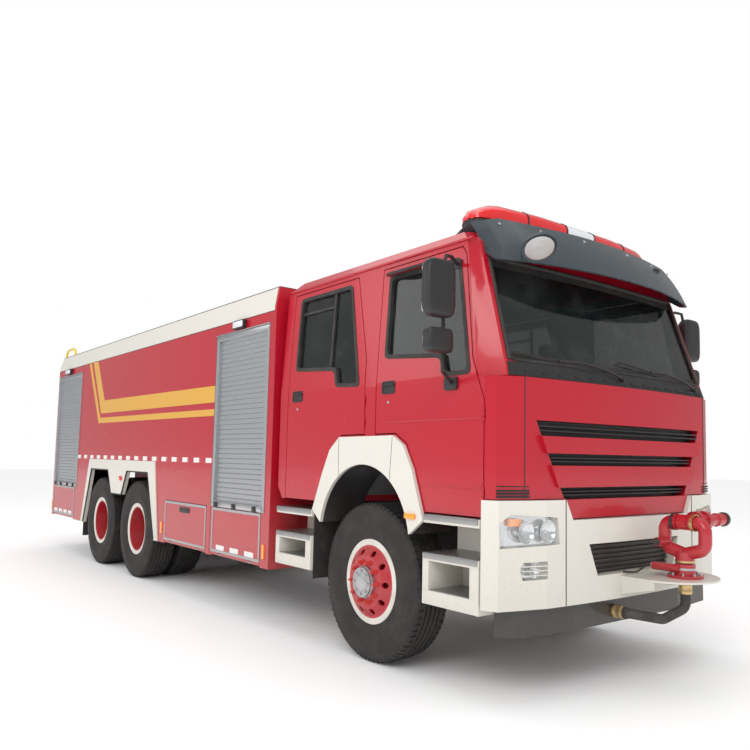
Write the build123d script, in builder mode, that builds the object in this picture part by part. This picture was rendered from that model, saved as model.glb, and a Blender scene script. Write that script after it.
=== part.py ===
from build123d import *
import os
from math import atan2, cos, degrees, hypot, pi, radians, sin, tan

# Fire rescue truck: crew cab on a 6x4 chassis with a closed equipment body and a monitor at the bumper.
# Millimetres. +X runs forward, +Y to the left, +Z up. The origin is on the ground below the middle of the truck.

os.makedirs("parts", exist_ok=True)

# Layout along the truck
wheelbase = 4600.0
bogie_spread = 1350.0
front_overhang = 1950.0
rear_overhang = 2440.0
overall_length = front_overhang + wheelbase + bogie_spread + rear_overhang
front_axle_x = overall_length / 2 - front_overhang
rear_axle_x = [front_axle_x - wheelbase, front_axle_x - wheelbase - bogie_spread]
bogie_x = (rear_axle_x[0] + rear_axle_x[1]) / 2
rear_end_x = -overall_length / 2
front_end_x = overall_length / 2

# Clearances
seat_gap = 0.3
running_gap = 0.05
moving_gap = 6.0
door_gap = 8.0

# Wheels
tyre_radius = 562.5
tyre_width = 315.0
rim_seat_radius = 254.0
rim_ring_radius = 300.0
rim_wall = 8.0
front_wheel_y = 1011.0
rear_outer_y = 1090.0
dual_spacing = 350.0
wheel_z = tyre_radius
spindle_radius = 45.0
drum_radius = 205.0

# Chassis frame
rail_half_width = 425.0
rail_height = 300.0
rail_flange = 80.0
rail_sheet = 8.0
rail_top_z = 1050.0
rail_bottom_z = rail_top_z - rail_height
rail_front_x = front_axle_x + 1150.0
rail_rear_x = front_axle_x - 8250.0
rail_inner_y = rail_half_width - rail_flange

# Steering
kingpin_y = 850.0
kingpin_radius = 25.0
beam_eye_radius = 42.0
beam_eye_half = 50.0
steer_arm_back = 190.0
steer_arm_y = kingpin_y
steer_arm_z = wheel_z - 120.0

# Cab
cab_half_width = 1215.0
cab_gutter_half_width = 1160.0
cab_wall = 60.0
cab_bottom_z = 1100.0
cab_belt_z = 1980.0
cab_gutter_z = 2860.0
cab_roof_z = 2950.0
cab_rear_x = front_axle_x - 1250.0
cab_front_x = front_axle_x + 1300.0
cab_corner_x = front_axle_x + 1232.0
arch_x = front_axle_x + 5.0
arch_radius = 549.0
arch_z = 851.0
tunnel_half_width = 450.0
tunnel_top_z = 1420.0

# Front face
panel_front_x = front_axle_x + 1425.0
bumper_front_x = front_axle_x + 1470.0
bumper_top_z = 1210.0
bumper_bottom_z = 570.0
bumper_half_width = 1245.0

# Body
body_front_x = front_axle_x - 1312.0
body_rear_x = front_axle_x - 8306.0
body_half_width = 1250.0
body_wall = 40.0
body_bottom_z = 490.0
body_floor_z = 1300.0
body_floor = 40.0
body_top_z = 2720.0
deck_thickness = 36.0
coaming_height = 173.0
shutter_bottom_z = 955.0
shutter_top_z = 2612.0
flap_bottom_z = 505.0
flap_top_z = 948.0
flap_thickness = 35.0
locker_depth = 560.0
locker_sheet = 16.0

# Monitor at the bumper
monitor_x = front_axle_x + 1750.0
monitor_y = 100.0
platform_z = 712.0
platform_plate = 12.0


def side_plane(y):
    """Side view at a given y: sketch x is along the truck, sketch y is height, extrusion runs to -Y."""
    return Plane.XZ.offset(-y)


def front_plane(x):
    """Front view at a given x: sketch x is to the left, sketch y is height, extrusion runs to +X."""
    return Plane.YZ.offset(x)


def plan_plane(z):
    """Plan view at a given height: extrusion runs up."""
    return Plane.XY.offset(z)


def write_step(builder, name):
    """Label a finished piece and write its file."""
    builder.part.label = name
    export_step(builder.part, f"parts/{name}.step")


def lateral_axis(x, z):
    """Axis across the truck at a given station and height."""
    return Axis((x, 0, z), (0, 1, 0))


# Chassis frame: two channel rails, tubes across, front cross beam with towing sockets, under-guard, rear step

rail_profile = [
    (rail_half_width, rail_bottom_z),
    (rail_half_width, rail_top_z),
    (rail_inner_y, rail_top_z),
    (rail_inner_y, rail_top_z - rail_sheet),
    (rail_half_width - rail_sheet, rail_top_z - rail_sheet),
    (rail_half_width - rail_sheet, rail_bottom_z + rail_sheet),
    (rail_inner_y, rail_bottom_z + rail_sheet),
    (rail_inner_y, rail_bottom_z),
]
crossmember_x = [front_axle_x + back for back in (-1900, -3000, -4000, -5275, -6500, -7500)]
crossmember_radius = 50.0
tow_eye_radius = 22.0
tow_boss_radius = 38.0
tow_boss_length = 40.0
tow_eye_y = 380.0
tow_eye_z = 860.0
front_beam_x = rail_front_x
front_beam_depth = 60.0
front_beam_half_width = 640.0
hanger_half_length = 45.0
front_spring_half = 700.0
front_spring_y = 387.0
front_spring_width = 70.0
front_hanger_bottom_z = 712.0 + seat_gap
underguard_half_width = 1120.0
underguard_top_z = 560.0
underguard_bottom_z = 400.0
underguard_x = front_axle_x + 1290.0
guard_arm_x = front_axle_x + 1080.0
cab_mount_front_x = front_axle_x + 1050.0
cab_mount_rear_x = front_axle_x - 1150.0
cab_mount_y = (rail_half_width + rail_inner_y) / 2
rear_step_z = 560.0

with BuildPart() as chassis_frame:
    with BuildSketch(front_plane(rail_rear_x)):
        Polygon(rail_profile, align=None)
    extrude(amount=rail_front_x - rail_rear_x)
    mirror(about=Plane.XZ)
    for x in crossmember_x:
        with BuildSketch(side_plane(rail_half_width - rail_sheet)):
            with Locations((x, (rail_top_z + rail_bottom_z) / 2)):
                Circle(crossmember_radius)
        extrude(amount=2 * (rail_half_width - rail_sheet))
    # Front cross beam with two sockets for screw-in towing eyes, reached through the bumper's intake
    with BuildSketch(front_plane(front_beam_x)):
        Polygon(
            [
                (-front_beam_half_width, 800),
                (front_beam_half_width, 800),
                (front_beam_half_width, 920),
                (-front_beam_half_width, 920),
            ],
            align=None,
        )
    extrude(amount=front_beam_depth)
    for radius, mode in ((tow_boss_radius, Mode.ADD), (tow_eye_radius, Mode.SUBTRACT)):
        with BuildSketch(front_plane(front_beam_x)):
            with Locations((-tow_eye_y, tow_eye_z), (tow_eye_y, tow_eye_z)):
                Circle(radius)
        extrude(amount=front_beam_depth + tow_boss_length, mode=mode)
    # Front spring hangers under the rails
    for x in (front_axle_x - front_spring_half, front_axle_x + front_spring_half):
        for y in (-front_spring_y, front_spring_y):
            with BuildSketch(plan_plane(front_hanger_bottom_z)):
                with Locations((x, y)):
                    Rectangle(2 * hanger_half_length, front_spring_width)
            extrude(amount=rail_bottom_z - front_hanger_bottom_z)
    # Cab mounts: two blocks at the front, two posts at the rear under the raised floor
    for x, top_z in ((cab_mount_front_x, cab_bottom_z), (cab_mount_rear_x, tunnel_top_z)):
        for y in (-cab_mount_y, cab_mount_y):
            with BuildSketch(plan_plane(rail_top_z)):
                with Locations((x, y)):
                    Rectangle(90, rail_flange - 10)
            extrude(amount=top_z - seat_gap - rail_top_z)
    # Under-guard: an open channel plate across the nose, carried by two arms from the rails
    with BuildSketch(plan_plane(underguard_bottom_z)):
        Polygon(
            [
                (underguard_x - 70, -underguard_half_width),
                (underguard_x + 40, -underguard_half_width + 60),
                (underguard_x + 100, -600),
                (underguard_x + 100, 600),
                (underguard_x + 40, underguard_half_width - 60),
                (underguard_x - 70, underguard_half_width),
                (underguard_x - 70, underguard_half_width - 25),
                (underguard_x, underguard_half_width - 80),
                (underguard_x + 60, 560),
                (underguard_x + 60, -560),
                (underguard_x, -underguard_half_width + 80),
                (underguard_x - 70, -underguard_half_width + 25),
            ],
            align=None,
        )
    extrude(amount=underguard_top_z - underguard_bottom_z)
    for y in (-rail_inner_y, rail_half_width):
        with BuildSketch(side_plane(y)):
            Polygon(
                [
                    (guard_arm_x - 90, rail_bottom_z),
                    (guard_arm_x + 60, rail_bottom_z),
                    (underguard_x + 60, underguard_top_z),
                    (underguard_x + 60, underguard_bottom_z + 40),
                    (underguard_x - 20, underguard_bottom_z + 40),
                ],
                align=None,
            )
        extrude(amount=rail_flange)
    # Rear cross plate with the under-run bar and the climbing step
    with BuildSketch(front_plane(rail_rear_x - 20)):
        Polygon(
            [(-rail_half_width, 600), (rail_half_width, 600), (rail_half_width, rail_top_z), (-rail_half_width, rail_top_z)],
            align=None,
        )
    extrude(amount=20)
    with BuildSketch(plan_plane(rear_step_z)):
        Polygon(
            [
                (rear_end_x, -1150),
                (body_rear_x - seat_gap, -1150),
                (body_rear_x - seat_gap, -600),
                (rail_rear_x, -600),
                (rail_rear_x, 600),
                (body_rear_x - seat_gap, 600),
                (body_rear_x - seat_gap, 1150),
                (rear_end_x, 1150),
            ],
            align=None,
        )
    extrude(amount=60)
chassis_frame.part.label = "chassis_frame"
export_step(chassis_frame.part, "parts/chassis_frame.step")

# Front axle: a dropped beam with an eye at each end, and two leaf springs clamped on it

beam_half_depth = 40.0
beam_foot_y = kingpin_y - 95.0
beam_shoulder_y = kingpin_y - 135.0
beam_seat_z = 530.0
spring_end_z = 712.0

with BuildPart() as front_axle:
    with BuildSketch(front_plane(front_axle_x - beam_half_depth)):
        Polygon(
            [
                (-kingpin_y, wheel_z - beam_eye_half),
                (-beam_foot_y, wheel_z - beam_eye_half),
                (-500, 430),
                (500, 430),
                (beam_foot_y, wheel_z - beam_eye_half),
                (kingpin_y, wheel_z - beam_eye_half),
                (kingpin_y, wheel_z + beam_eye_half),
                (beam_shoulder_y, wheel_z + beam_eye_half),
                (480, beam_seat_z),
                (-480, beam_seat_z),
                (-beam_shoulder_y, wheel_z + beam_eye_half),
                (-kingpin_y, wheel_z + beam_eye_half),
            ],
            align=None,
        )
    extrude(amount=2 * beam_half_depth)
    with BuildSketch(plan_plane(wheel_z - beam_eye_half)):
        with Locations((front_axle_x, kingpin_y), (front_axle_x, -kingpin_y)):
            Circle(beam_eye_radius)
    extrude(amount=2 * beam_eye_half)
    with BuildSketch(plan_plane(wheel_z - beam_eye_half)):
        with Locations((front_axle_x, kingpin_y), (front_axle_x, -kingpin_y)):
            Circle(kingpin_radius + running_gap)
    extrude(amount=2 * beam_eye_half, mode=Mode.SUBTRACT)
    for y in (front_spring_y, -front_spring_y):
        with BuildSketch(side_plane(y + front_spring_width / 2)):
            Polygon(
                [
                    (front_axle_x - front_spring_half - 30, spring_end_z - 24),
                    (front_axle_x - front_spring_half + 60, spring_end_z - 24),
                    (front_axle_x - 120, beam_seat_z),
                    (front_axle_x + 120, beam_seat_z),
                    (front_axle_x + front_spring_half - 60, spring_end_z - 24),
                    (front_axle_x + front_spring_half + 30, spring_end_z - 24),
                    (front_axle_x + front_spring_half + 30, spring_end_z),
                    (front_axle_x + front_spring_half - 60, spring_end_z),
                    (front_axle_x + 120, beam_seat_z + 75),
                    (front_axle_x - 120, beam_seat_z + 75),
                    (front_axle_x - front_spring_half + 60, spring_end_z),
                    (front_axle_x - front_spring_half - 30, spring_end_z),
                ],
                align=None,
            )
        extrude(amount=front_spring_width)
front_axle.part.label = "front_axle"
export_step(front_axle.part, "parts/front_axle.step")

# Rear axles: two tubes with a round gear case each, carried by one bogie spring a side on a cross tube

axle_tube_radius = 72.0
rear_spindle_radius = 60.0
axle_tube_half = 590.0
rear_spindle_half = 1010.0
gear_case_radius = 190.0
shaft_z = 640.0
pinion_reach = 260.0
gear_case_half = 120.0
bogie_spring_y = 475.0
bogie_spring_width = 80.0
bogie_spring_end_z = 650.0
trunnion_z = 545.0

with BuildPart() as rear_axles:
    for x in rear_axle_x:
        with BuildSketch(front_plane(x)):
            Polygon(
                [
                    (-rear_spindle_half, wheel_z),
                    (-rear_spindle_half, wheel_z + rear_spindle_radius),
                    (-axle_tube_half, wheel_z + rear_spindle_radius),
                    (-axle_tube_half, wheel_z + axle_tube_radius),
                    (-260, wheel_z + axle_tube_radius),
                    (-gear_case_half, wheel_z + gear_case_radius),
                    (gear_case_half, wheel_z + gear_case_radius),
                    (260, wheel_z + axle_tube_radius),
                    (axle_tube_half, wheel_z + axle_tube_radius),
                    (axle_tube_half, wheel_z + rear_spindle_radius),
                    (rear_spindle_half, wheel_z + rear_spindle_radius),
                    (rear_spindle_half, wheel_z),
                ],
                align=None,
            )
        revolve(axis=lateral_axis(x, wheel_z))
    for y in (bogie_spring_y, -bogie_spring_y):
        with BuildSketch(side_plane(y + bogie_spring_width / 2)):
            Polygon(
                [
                    (bogie_x - bogie_spread / 2 - 80, 600),
                    (bogie_x - bogie_spread / 2 + 80, 600),
                    (bogie_x - bogie_spread / 2 + 80, bogie_spring_end_z),
                    (bogie_x - 120, 640),
                    (bogie_x - 120, trunnion_z - 70),
                    (bogie_x + 120, trunnion_z - 70),
                    (bogie_x + 120, 640),
                    (bogie_x + bogie_spread / 2 - 80, bogie_spring_end_z),
                    (bogie_x + bogie_spread / 2 - 80, 600),
                    (bogie_x + bogie_spread / 2 + 80, 600),
                    (bogie_x + bogie_spread / 2 + 80, bogie_spring_end_z + 24),
                    (bogie_x + bogie_spread / 2 - 60, bogie_spring_end_z + 24),
                    (bogie_x + 120, 730),
                    (bogie_x - 120, 730),
                    (bogie_x - bogie_spread / 2 + 60, bogie_spring_end_z + 24),
                    (bogie_x - bogie_spread / 2 - 80, bogie_spring_end_z + 24),
                ],
                align=None,
            )
        extrude(amount=bogie_spring_width)
    # Pinion nose of the first axle and the short shaft between the two gear cases
    with BuildSketch(front_plane(rear_axle_x[1])):
        with Locations((0, shaft_z)):
            Circle(45)
    extrude(amount=bogie_spread + pinion_reach)
    # Cross tube and the brackets that carry it under the rails
    with BuildSketch(side_plane(bogie_spring_y)):
        with Locations((bogie_x, trunnion_z)):
            Circle(60)
    extrude(amount=2 * bogie_spring_y)
    for y in (rail_half_width, -rail_inner_y):
        with BuildSketch(side_plane(y)):
            Polygon(
                [
                    (bogie_x - 90, trunnion_z - 80),
                    (bogie_x + 90, trunnion_z - 80),
                    (bogie_x + 200, rail_bottom_z),
                    (bogie_x - 200, rail_bottom_z),
                ],
                align=None,
            )
        extrude(amount=rail_flange)
rear_axles.part.label = "rear_axles"
export_step(rear_axles.part, "parts/rear_axles.step")

# Engine with its gearbox, one plain block between the rails, and the propeller shaft to the first axle

engine_front_x = front_axle_x + 420.0
engine_rear_x = front_axle_x - 950.0
gearbox_rear_x = front_axle_x - 1700.0
shaft_rear_x = rear_axle_x[0] + pinion_reach + seat_gap
with BuildPart() as engine_block:
    with BuildSketch(side_plane(330)):
        Polygon(
            [
                (engine_rear_x, 640),
                (engine_front_x, 640),
                (engine_front_x, 1390),
                (engine_rear_x, 1390),
            ],
            align=None,
        )
    extrude(amount=660)
    with BuildSketch(side_plane(210)):
        Polygon(
            [
                (gearbox_rear_x, shaft_z - 60),
                (engine_rear_x, 660),
                (engine_rear_x, 1060),
                (gearbox_rear_x, 960),
            ],
            align=None,
        )
    extrude(amount=420)
    # Mount feet that rest on the rails' inner flanges
    with BuildSketch(plan_plane(rail_bottom_z + rail_sheet + seat_gap)):
        with GridLocations(engine_front_x - engine_rear_x - 160, 0, 2, 1):
            with Locations(((engine_front_x + engine_rear_x) / 2, 0)):
                Rectangle(120, 2 * (rail_inner_y + 50))
    extrude(amount=60)
    with BuildSketch(front_plane(shaft_rear_x)):
        with Locations((0, shaft_z)):
            Circle(45)
    extrude(amount=gearbox_rear_x - shaft_rear_x)
engine_block.part.label = "engine_block"
export_step(engine_block.part, "parts/engine_block.step")

# Wheels. Sections are (distance outwards from the tyre's middle plane, radius).

tyre_section = [
    (-106.0, rim_seat_radius + seat_gap),
    (-tyre_width / 2, 400.0),
    (-140.0, 525.0),
    (-112.0, tyre_radius),
    (112.0, tyre_radius),
    (140.0, 525.0),
    (tyre_width / 2, 400.0),
    (106.0, rim_seat_radius + seat_gap),
]
front_rim_section = [
    (-128.0, rim_ring_radius),
    (-124.0, rim_ring_radius),
    (-110.5, rim_seat_radius),
    (110.5, rim_seat_radius),
    (124.0, rim_ring_radius),
    (128.0, rim_ring_radius),
    (130.0, 244.0),
    (172.0, 190.0),
    (176.0, 112.0),
    (210.0, 104.0),
    (214.0, 60.0),
    (214.0, 0.0),
    (196.0, 0.0),
    (196.0, spindle_radius + running_gap),
    (-20.0, spindle_radius + running_gap),
    (-20.0, 70.0),
    (100.0, 70.0),
    (100.0, drum_radius - 10),
    (-20.0, drum_radius - 10),
    (-20.0, drum_radius),
    (112.0, drum_radius),
    (112.0, 120.0),
    (162.0, 120.0),
    (158.0, 184.0),
    (112.0, 240.0),
    (-118.0, rim_seat_radius - rim_wall),
    (-128.0, rim_ring_radius - rim_wall),
]
# Twin wheel, measured from the middle plane of the outer tyre: the dish is deep and the hub stands out of it
rear_disc = -dual_spacing / 2
rear_rim_section = [
    (-128.0, rim_ring_radius),
    (-124.0, rim_ring_radius),
    (-110.5, rim_seat_radius),
    (110.5, rim_seat_radius),
    (124.0, rim_ring_radius),
    (128.0, rim_ring_radius),
    (128.0, rim_ring_radius - rim_wall),
    (118.0, rim_seat_radius - rim_wall),
    (-90.0, rim_seat_radius - rim_wall),
    (rear_disc + 14, 190.0),
    (rear_disc + 10, 140.0),
    (-40.0, 130.0),
    (-30.0, 90.0),
    (-30.0, 0.0),
    (-60.0, 0.0),
    (-60.0, rear_spindle_radius + running_gap),
    (-430.0, rear_spindle_radius + running_gap),
    (-430.0, 110.0),
    (-230.0, 110.0),
    (-230.0, drum_radius - 10),
    (-450.0, drum_radius - 10),
    (-450.0, drum_radius),
    (rear_disc - 14, drum_radius),
    (-dual_spacing + 118, rim_seat_radius - rim_wall),
    (-dual_spacing - 118, rim_seat_radius - rim_wall),
    (-dual_spacing - 128, rim_ring_radius - rim_wall),
    (-dual_spacing - 128, rim_ring_radius),
    (-dual_spacing - 124, rim_ring_radius),
    (-dual_spacing - 110.5, rim_seat_radius),
    (-dual_spacing + 110.5, rim_seat_radius),
    (-dual_spacing + 124, rim_ring_radius),
    (-dual_spacing + 128, rim_ring_radius),
    (-dual_spacing + 132, rim_seat_radius),
    (-132.0, rim_seat_radius),
]
hand_hole_count = 10
hand_hole_radius = 22.0
front_hand_hole_ring = 210.0

# name, axle station, middle plane of the outer tyre, side (1 left, -1 right), twin tyres
wheel_table = [
    ("front_left", front_axle_x, front_wheel_y, 1, False),
    ("front_right", front_axle_x, front_wheel_y, -1, False),
    ("mid_left", rear_axle_x[0], rear_outer_y, 1, True),
    ("mid_right", rear_axle_x[0], rear_outer_y, -1, True),
    ("rear_left", rear_axle_x[1], rear_outer_y, 1, True),
    ("rear_right", rear_axle_x[1], rear_outer_y, -1, True),
]


def placed_section(section, centre_y, side):
    """Section points in the front view: outward distances become y, radii become heights above the hub."""
    return [(side * (centre_y + outward), wheel_z + radius) for outward, radius in section]


for name, x, y, side, twin in wheel_table:
    with BuildPart() as tyre:
        for middle_y in [y, y - dual_spacing] if twin else [y]:
            with BuildSketch(front_plane(x)):
                Polygon(placed_section(tyre_section, middle_y, side), align=None)
            revolve(axis=lateral_axis(x, wheel_z))
    write_step(tyre, f"{name}_tyre")

    with BuildPart() as rim:
        with BuildSketch(front_plane(x)):
            Polygon(placed_section(rear_rim_section if twin else front_rim_section, y, side), align=None)
        revolve(axis=lateral_axis(x, wheel_z))
        if not twin:
            with BuildSketch(side_plane(side * (y + 190) + 70)):
                with Locations((x, wheel_z)):
                    with PolarLocations(front_hand_hole_ring, hand_hole_count):
                        Circle(hand_hole_radius)
            extrude(amount=140, mode=Mode.SUBTRACT)
    write_step(rim, f"{name}_rim")

# Knuckles: yoke round the beam's eye with its kingpin, spindle, backing plate and steering arm

ear_bottom = beam_eye_half + 6
ear_top = 108.0
ear_inner_y = kingpin_y - 48
web_inner_y = kingpin_y + 48
web_outer_y = kingpin_y + 66
backing_inner_y = front_wheel_y - 30
backing_outer_y = backing_inner_y + 4
tie_pin_radius = 14.0
tie_rod_radius = 20.0

for name, side in (("front_left_knuckle", 1), ("front_right_knuckle", -1)):
    with BuildPart() as knuckle:
        # Two ears and the web that joins them, seen from the front
        with BuildSketch(front_plane(front_axle_x - 55)):
            Polygon(
                [
                    (side * ear_inner_y, wheel_z + ear_bottom),
                    (side * web_inner_y, wheel_z + ear_bottom),
                    (side * web_inner_y, wheel_z - ear_bottom),
                    (side * ear_inner_y, wheel_z - ear_bottom),
                    (side * ear_inner_y, wheel_z - ear_top),
                    (side * web_outer_y, wheel_z - ear_top),
                    (side * web_outer_y, wheel_z + ear_top),
                    (side * ear_inner_y, wheel_z + ear_top),
                ],
                align=None,
            )
        extrude(amount=110)
        with BuildSketch(plan_plane(wheel_z - ear_top)):
            with Locations((front_axle_x, side * kingpin_y)):
                Circle(kingpin_radius)
        extrude(amount=2 * ear_top)
        with BuildSketch(front_plane(front_axle_x)):
            Polygon(
                [
                    (side * web_inner_y, wheel_z),
                    (side * web_inner_y, wheel_z + 60),
                    (side * backing_inner_y, wheel_z + 60),
                    (side * backing_inner_y, wheel_z + drum_radius - 20),
                    (side * backing_outer_y, wheel_z + drum_radius - 20),
                    (side * backing_outer_y, wheel_z + spindle_radius),
                    (side * (front_wheel_y + 190), wheel_z + spindle_radius),
                    (side * (front_wheel_y + 190), wheel_z),
                ],
                align=None,
            )
        revolve(axis=lateral_axis(front_axle_x, wheel_z))
        # Steering arm under the lower ear, running back to the tie rod's pin
        with BuildSketch(plan_plane(wheel_z - ear_top - 18)):
            Polygon(
                [
                    (front_axle_x + 45, side * (kingpin_y - 40)),
                    (front_axle_x + 45, side * (kingpin_y + 40)),
                    (front_axle_x - 45, side * (kingpin_y + 40)),
                    (front_axle_x - steer_arm_back - 22, side * (steer_arm_y + 20)),
                    (front_axle_x - steer_arm_back - 22, side * (steer_arm_y - 20)),
                    (front_axle_x - 45, side * (kingpin_y - 45)),
                ],
                align=None,
            )
        extrude(amount=18)
        with BuildSketch(plan_plane(wheel_z - ear_top - 18 - 66)):
            with Locations((front_axle_x - steer_arm_back, side * steer_arm_y)):
                Circle(tie_pin_radius)
        extrude(amount=66)
    write_step(knuckle, name)

tie_rod_z = wheel_z - ear_top - 18 - 36
tie_rod_eye_half = 24.0
with BuildPart() as tie_rod:
    with BuildSketch(side_plane(steer_arm_y)):
        with Locations((front_axle_x - steer_arm_back, tie_rod_z)):
            Circle(tie_rod_radius)
    extrude(amount=2 * steer_arm_y)
    for side in (1, -1):
        with BuildSketch(plan_plane(tie_rod_z - tie_rod_eye_half)):
            with Locations((front_axle_x - steer_arm_back, side * steer_arm_y)):
                Circle(30)
        extrude(amount=2 * tie_rod_eye_half)
    for side in (1, -1):
        with BuildSketch(plan_plane(tie_rod_z - tie_rod_eye_half)):
            with Locations((front_axle_x - steer_arm_back, side * steer_arm_y)):
                Circle(tie_pin_radius + running_gap)
        extrude(amount=2 * tie_rod_eye_half, mode=Mode.SUBTRACT)
tie_rod.part.label = "tie_rod"
export_step(tie_rod.part, "parts/tie_rod.step")

# Cab shell. Upper sections: height, rear x, side corner x, screen corner x, screen middle x, half width, screen half width

cab_sections = [
    (1960.0, cab_rear_x, front_axle_x + 1150, front_axle_x + 1325, front_axle_x + 1375, cab_half_width, 1130.0),
    (cab_gutter_z, cab_rear_x, front_axle_x + 1060, front_axle_x + 1190, front_axle_x + 1240, cab_gutter_half_width, 1080.0),
    (cab_roof_z, cab_rear_x + 110, front_axle_x + 960, front_axle_x + 1040, front_axle_x + 1080, 1080.0, 1000.0),
]
# Side outline of the wall band that holds the doors: y, z
wall_band = [
    (cab_half_width, 1000.0),
    (cab_half_width, cab_belt_z),
    (cab_gutter_half_width, cab_gutter_z),
    (cab_gutter_half_width - cab_wall, cab_gutter_z),
    (cab_half_width - cab_wall, cab_belt_z),
    (cab_half_width - cab_wall, 1000.0),
]
glass_depth = 22.0
glass_thickness = 6.0
glass_band = [
    (cab_half_width - glass_depth, 1000.0),
    (cab_half_width - glass_depth, cab_belt_z),
    (cab_gutter_half_width - glass_depth, cab_gutter_z),
    (cab_gutter_half_width - glass_depth - glass_thickness, cab_gutter_z),
    (cab_half_width - glass_depth - glass_thickness, cab_belt_z),
    (cab_half_width - glass_depth - glass_thickness, 1000.0),
]

# Door outlines, (x from the front axle, z). The lower edge runs round the wheel fender by arch_gap.
arch_gap = 15.0
fender_outline = [
    (-655.0, 1040.0),
    (-530.0, 1316.0),
    (-429.0, 1503.0),
    (-304.0, 1600.0),
    (354.0, 1605.0),
    (469.0, 1540.0),
    (566.0, 1380.0),
    (690.0, 1050.0),
]
door_outlines = {
    "rear": [
        (-1120.0, 1106.0),
        (-660.0, 1106.0),
        (-547.0, 1325.0),
        (-444.0, 1515.0),
        (-310.0, 1617.0),
        (-12.0, 1620.0),
        (-27.0, 2175.0),
        (-199.0, 2815.0),
        (-1120.0, 2815.0),
    ],
    "front": [
        (126.0, 1621.0),
        (360.0, 1622.0),
        (484.0, 1551.0),
        (582.0, 1388.0),
        (688.0, 1106.0),
        (1215.0, 1106.0),
        (1215.0, 1816.0),
        (1105.0, 2083.0),
        (998.0, 2760.0),
        (960.0, 2815.0),
        (126.0, 2815.0),
    ],
}
# x of each door's hinge pins from the front axle, and where its two hinges start
door_hinges = {"rear": (-12.0, (1660.0, 1810.0)), "front": (1219.0, (1200.0, 1680.0))}
hinge_y = cab_half_width + 3
hinge_radius = 8.0
hinge_pin_radius = 4.0
hinge_knuckle = 24.0
hinge_length = 90.0
window_outlines = {
    "rear": [
        (-1017.0, 2170.0),
        (-430.0, 2130.0),
        (-398.0, 2000.0),
        (-100.0, 1985.0),
        (-280.0, 2765.0),
        (-1017.0, 2765.0),
    ],
    "front": [
        (214.0, 2165.0),
        (815.0, 2118.0),
        (850.0, 1990.0),
        (1085.0, 1990.0),
        (941.0, 2740.0),
        (214.0, 2745.0),
    ],
}


def hinge_disc(x, side, radius, mode=Mode.ADD):
    """Round section of a door hinge in plan."""
    with Locations((front_axle_x + x, side * hinge_y)):
        Circle(radius, mode=mode)


def hinge_leaf(x, side, reach):
    """Plan section of a knuckle and the leaf that joins it to the panel at reach."""
    hinge_disc(x, side, hinge_radius)
    with Locations((front_axle_x + x + reach / 2, side * (hinge_y - 9))):
        Rectangle(abs(reach), 10)


def station(points):
    """Points given from the front axle, in the truck's own x."""
    return [(front_axle_x + x, z) for x, z in points]


def cab_section(z, rear_x, side_x, corner_x, middle_x, half_width, screen_half, inset=0.0):
    """Plan face of the cab at one height: straight sides and corners, one arc across the windscreen."""
    side = half_width - inset
    screen = screen_half - inset
    with BuildSketch(plan_plane(z)) as outline:
        with BuildLine():
            Polyline(
                (corner_x - inset, screen),
                (side_x - inset / 2, side),
                (rear_x + inset, side),
                (rear_x + inset, -side),
                (side_x - inset / 2, -side),
                (corner_x - inset, -screen),
            )
            ThreePointArc((corner_x - inset, -screen), (middle_x - inset, 0), (corner_x - inset, screen))
        make_face()
    return outline.sketch.face()


def lower_cab(inset=0.0):
    """Plan outline of the lower cab, flat across the front."""
    side = cab_half_width - inset
    Polygon(
        [
            (cab_rear_x + inset, -side),
            (front_axle_x + 1225, -side),
            (cab_front_x - inset, -1140 + inset),
            (cab_front_x - inset, 1140 - inset),
            (front_axle_x + 1225, side),
            (cab_rear_x + inset, side),
        ],
        align=None,
    )


def wheel_well(extra=0.0):
    """Side outline of the round wheel well under the cab."""
    with Locations((arch_x, arch_z)):
        Circle(arch_radius + 12 + extra)


with BuildPart() as cab_space:
    with BuildSketch(plan_plane(cab_bottom_z + cab_wall)):
        lower_cab(cab_wall)
    extrude(amount=1960.0 - cab_bottom_z - cab_wall)
    for lower, upper in zip(cab_sections, cab_sections[1:]):
        loft([cab_section(*lower, inset=cab_wall), cab_section(*upper, inset=cab_wall)], ruled=True)
    # Keep the inside below the roof skin
    with BuildSketch(plan_plane(cab_roof_z - 35)):
        Rectangle(4 * overall_length, 4 * cab_half_width)
    extrude(amount=200, mode=Mode.SUBTRACT)
    # Raised floor over the wheels and over the engine
    with BuildSketch(side_plane(cab_half_width)):
        wheel_well(extra=40)
    extrude(amount=2 * cab_half_width, mode=Mode.SUBTRACT)
    with BuildSketch(plan_plane(cab_bottom_z)):
        with Locations((front_axle_x - 200, 0)):
            Rectangle(2200, 2 * (tunnel_half_width + 40))
    extrude(amount=tunnel_top_z + 40 - cab_bottom_z, mode=Mode.SUBTRACT)

screen_outline = [(-1085.0, 2065.0), (1085.0, 2065.0), (1040.0, 2745.0), (-1040.0, 2745.0)]

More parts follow.
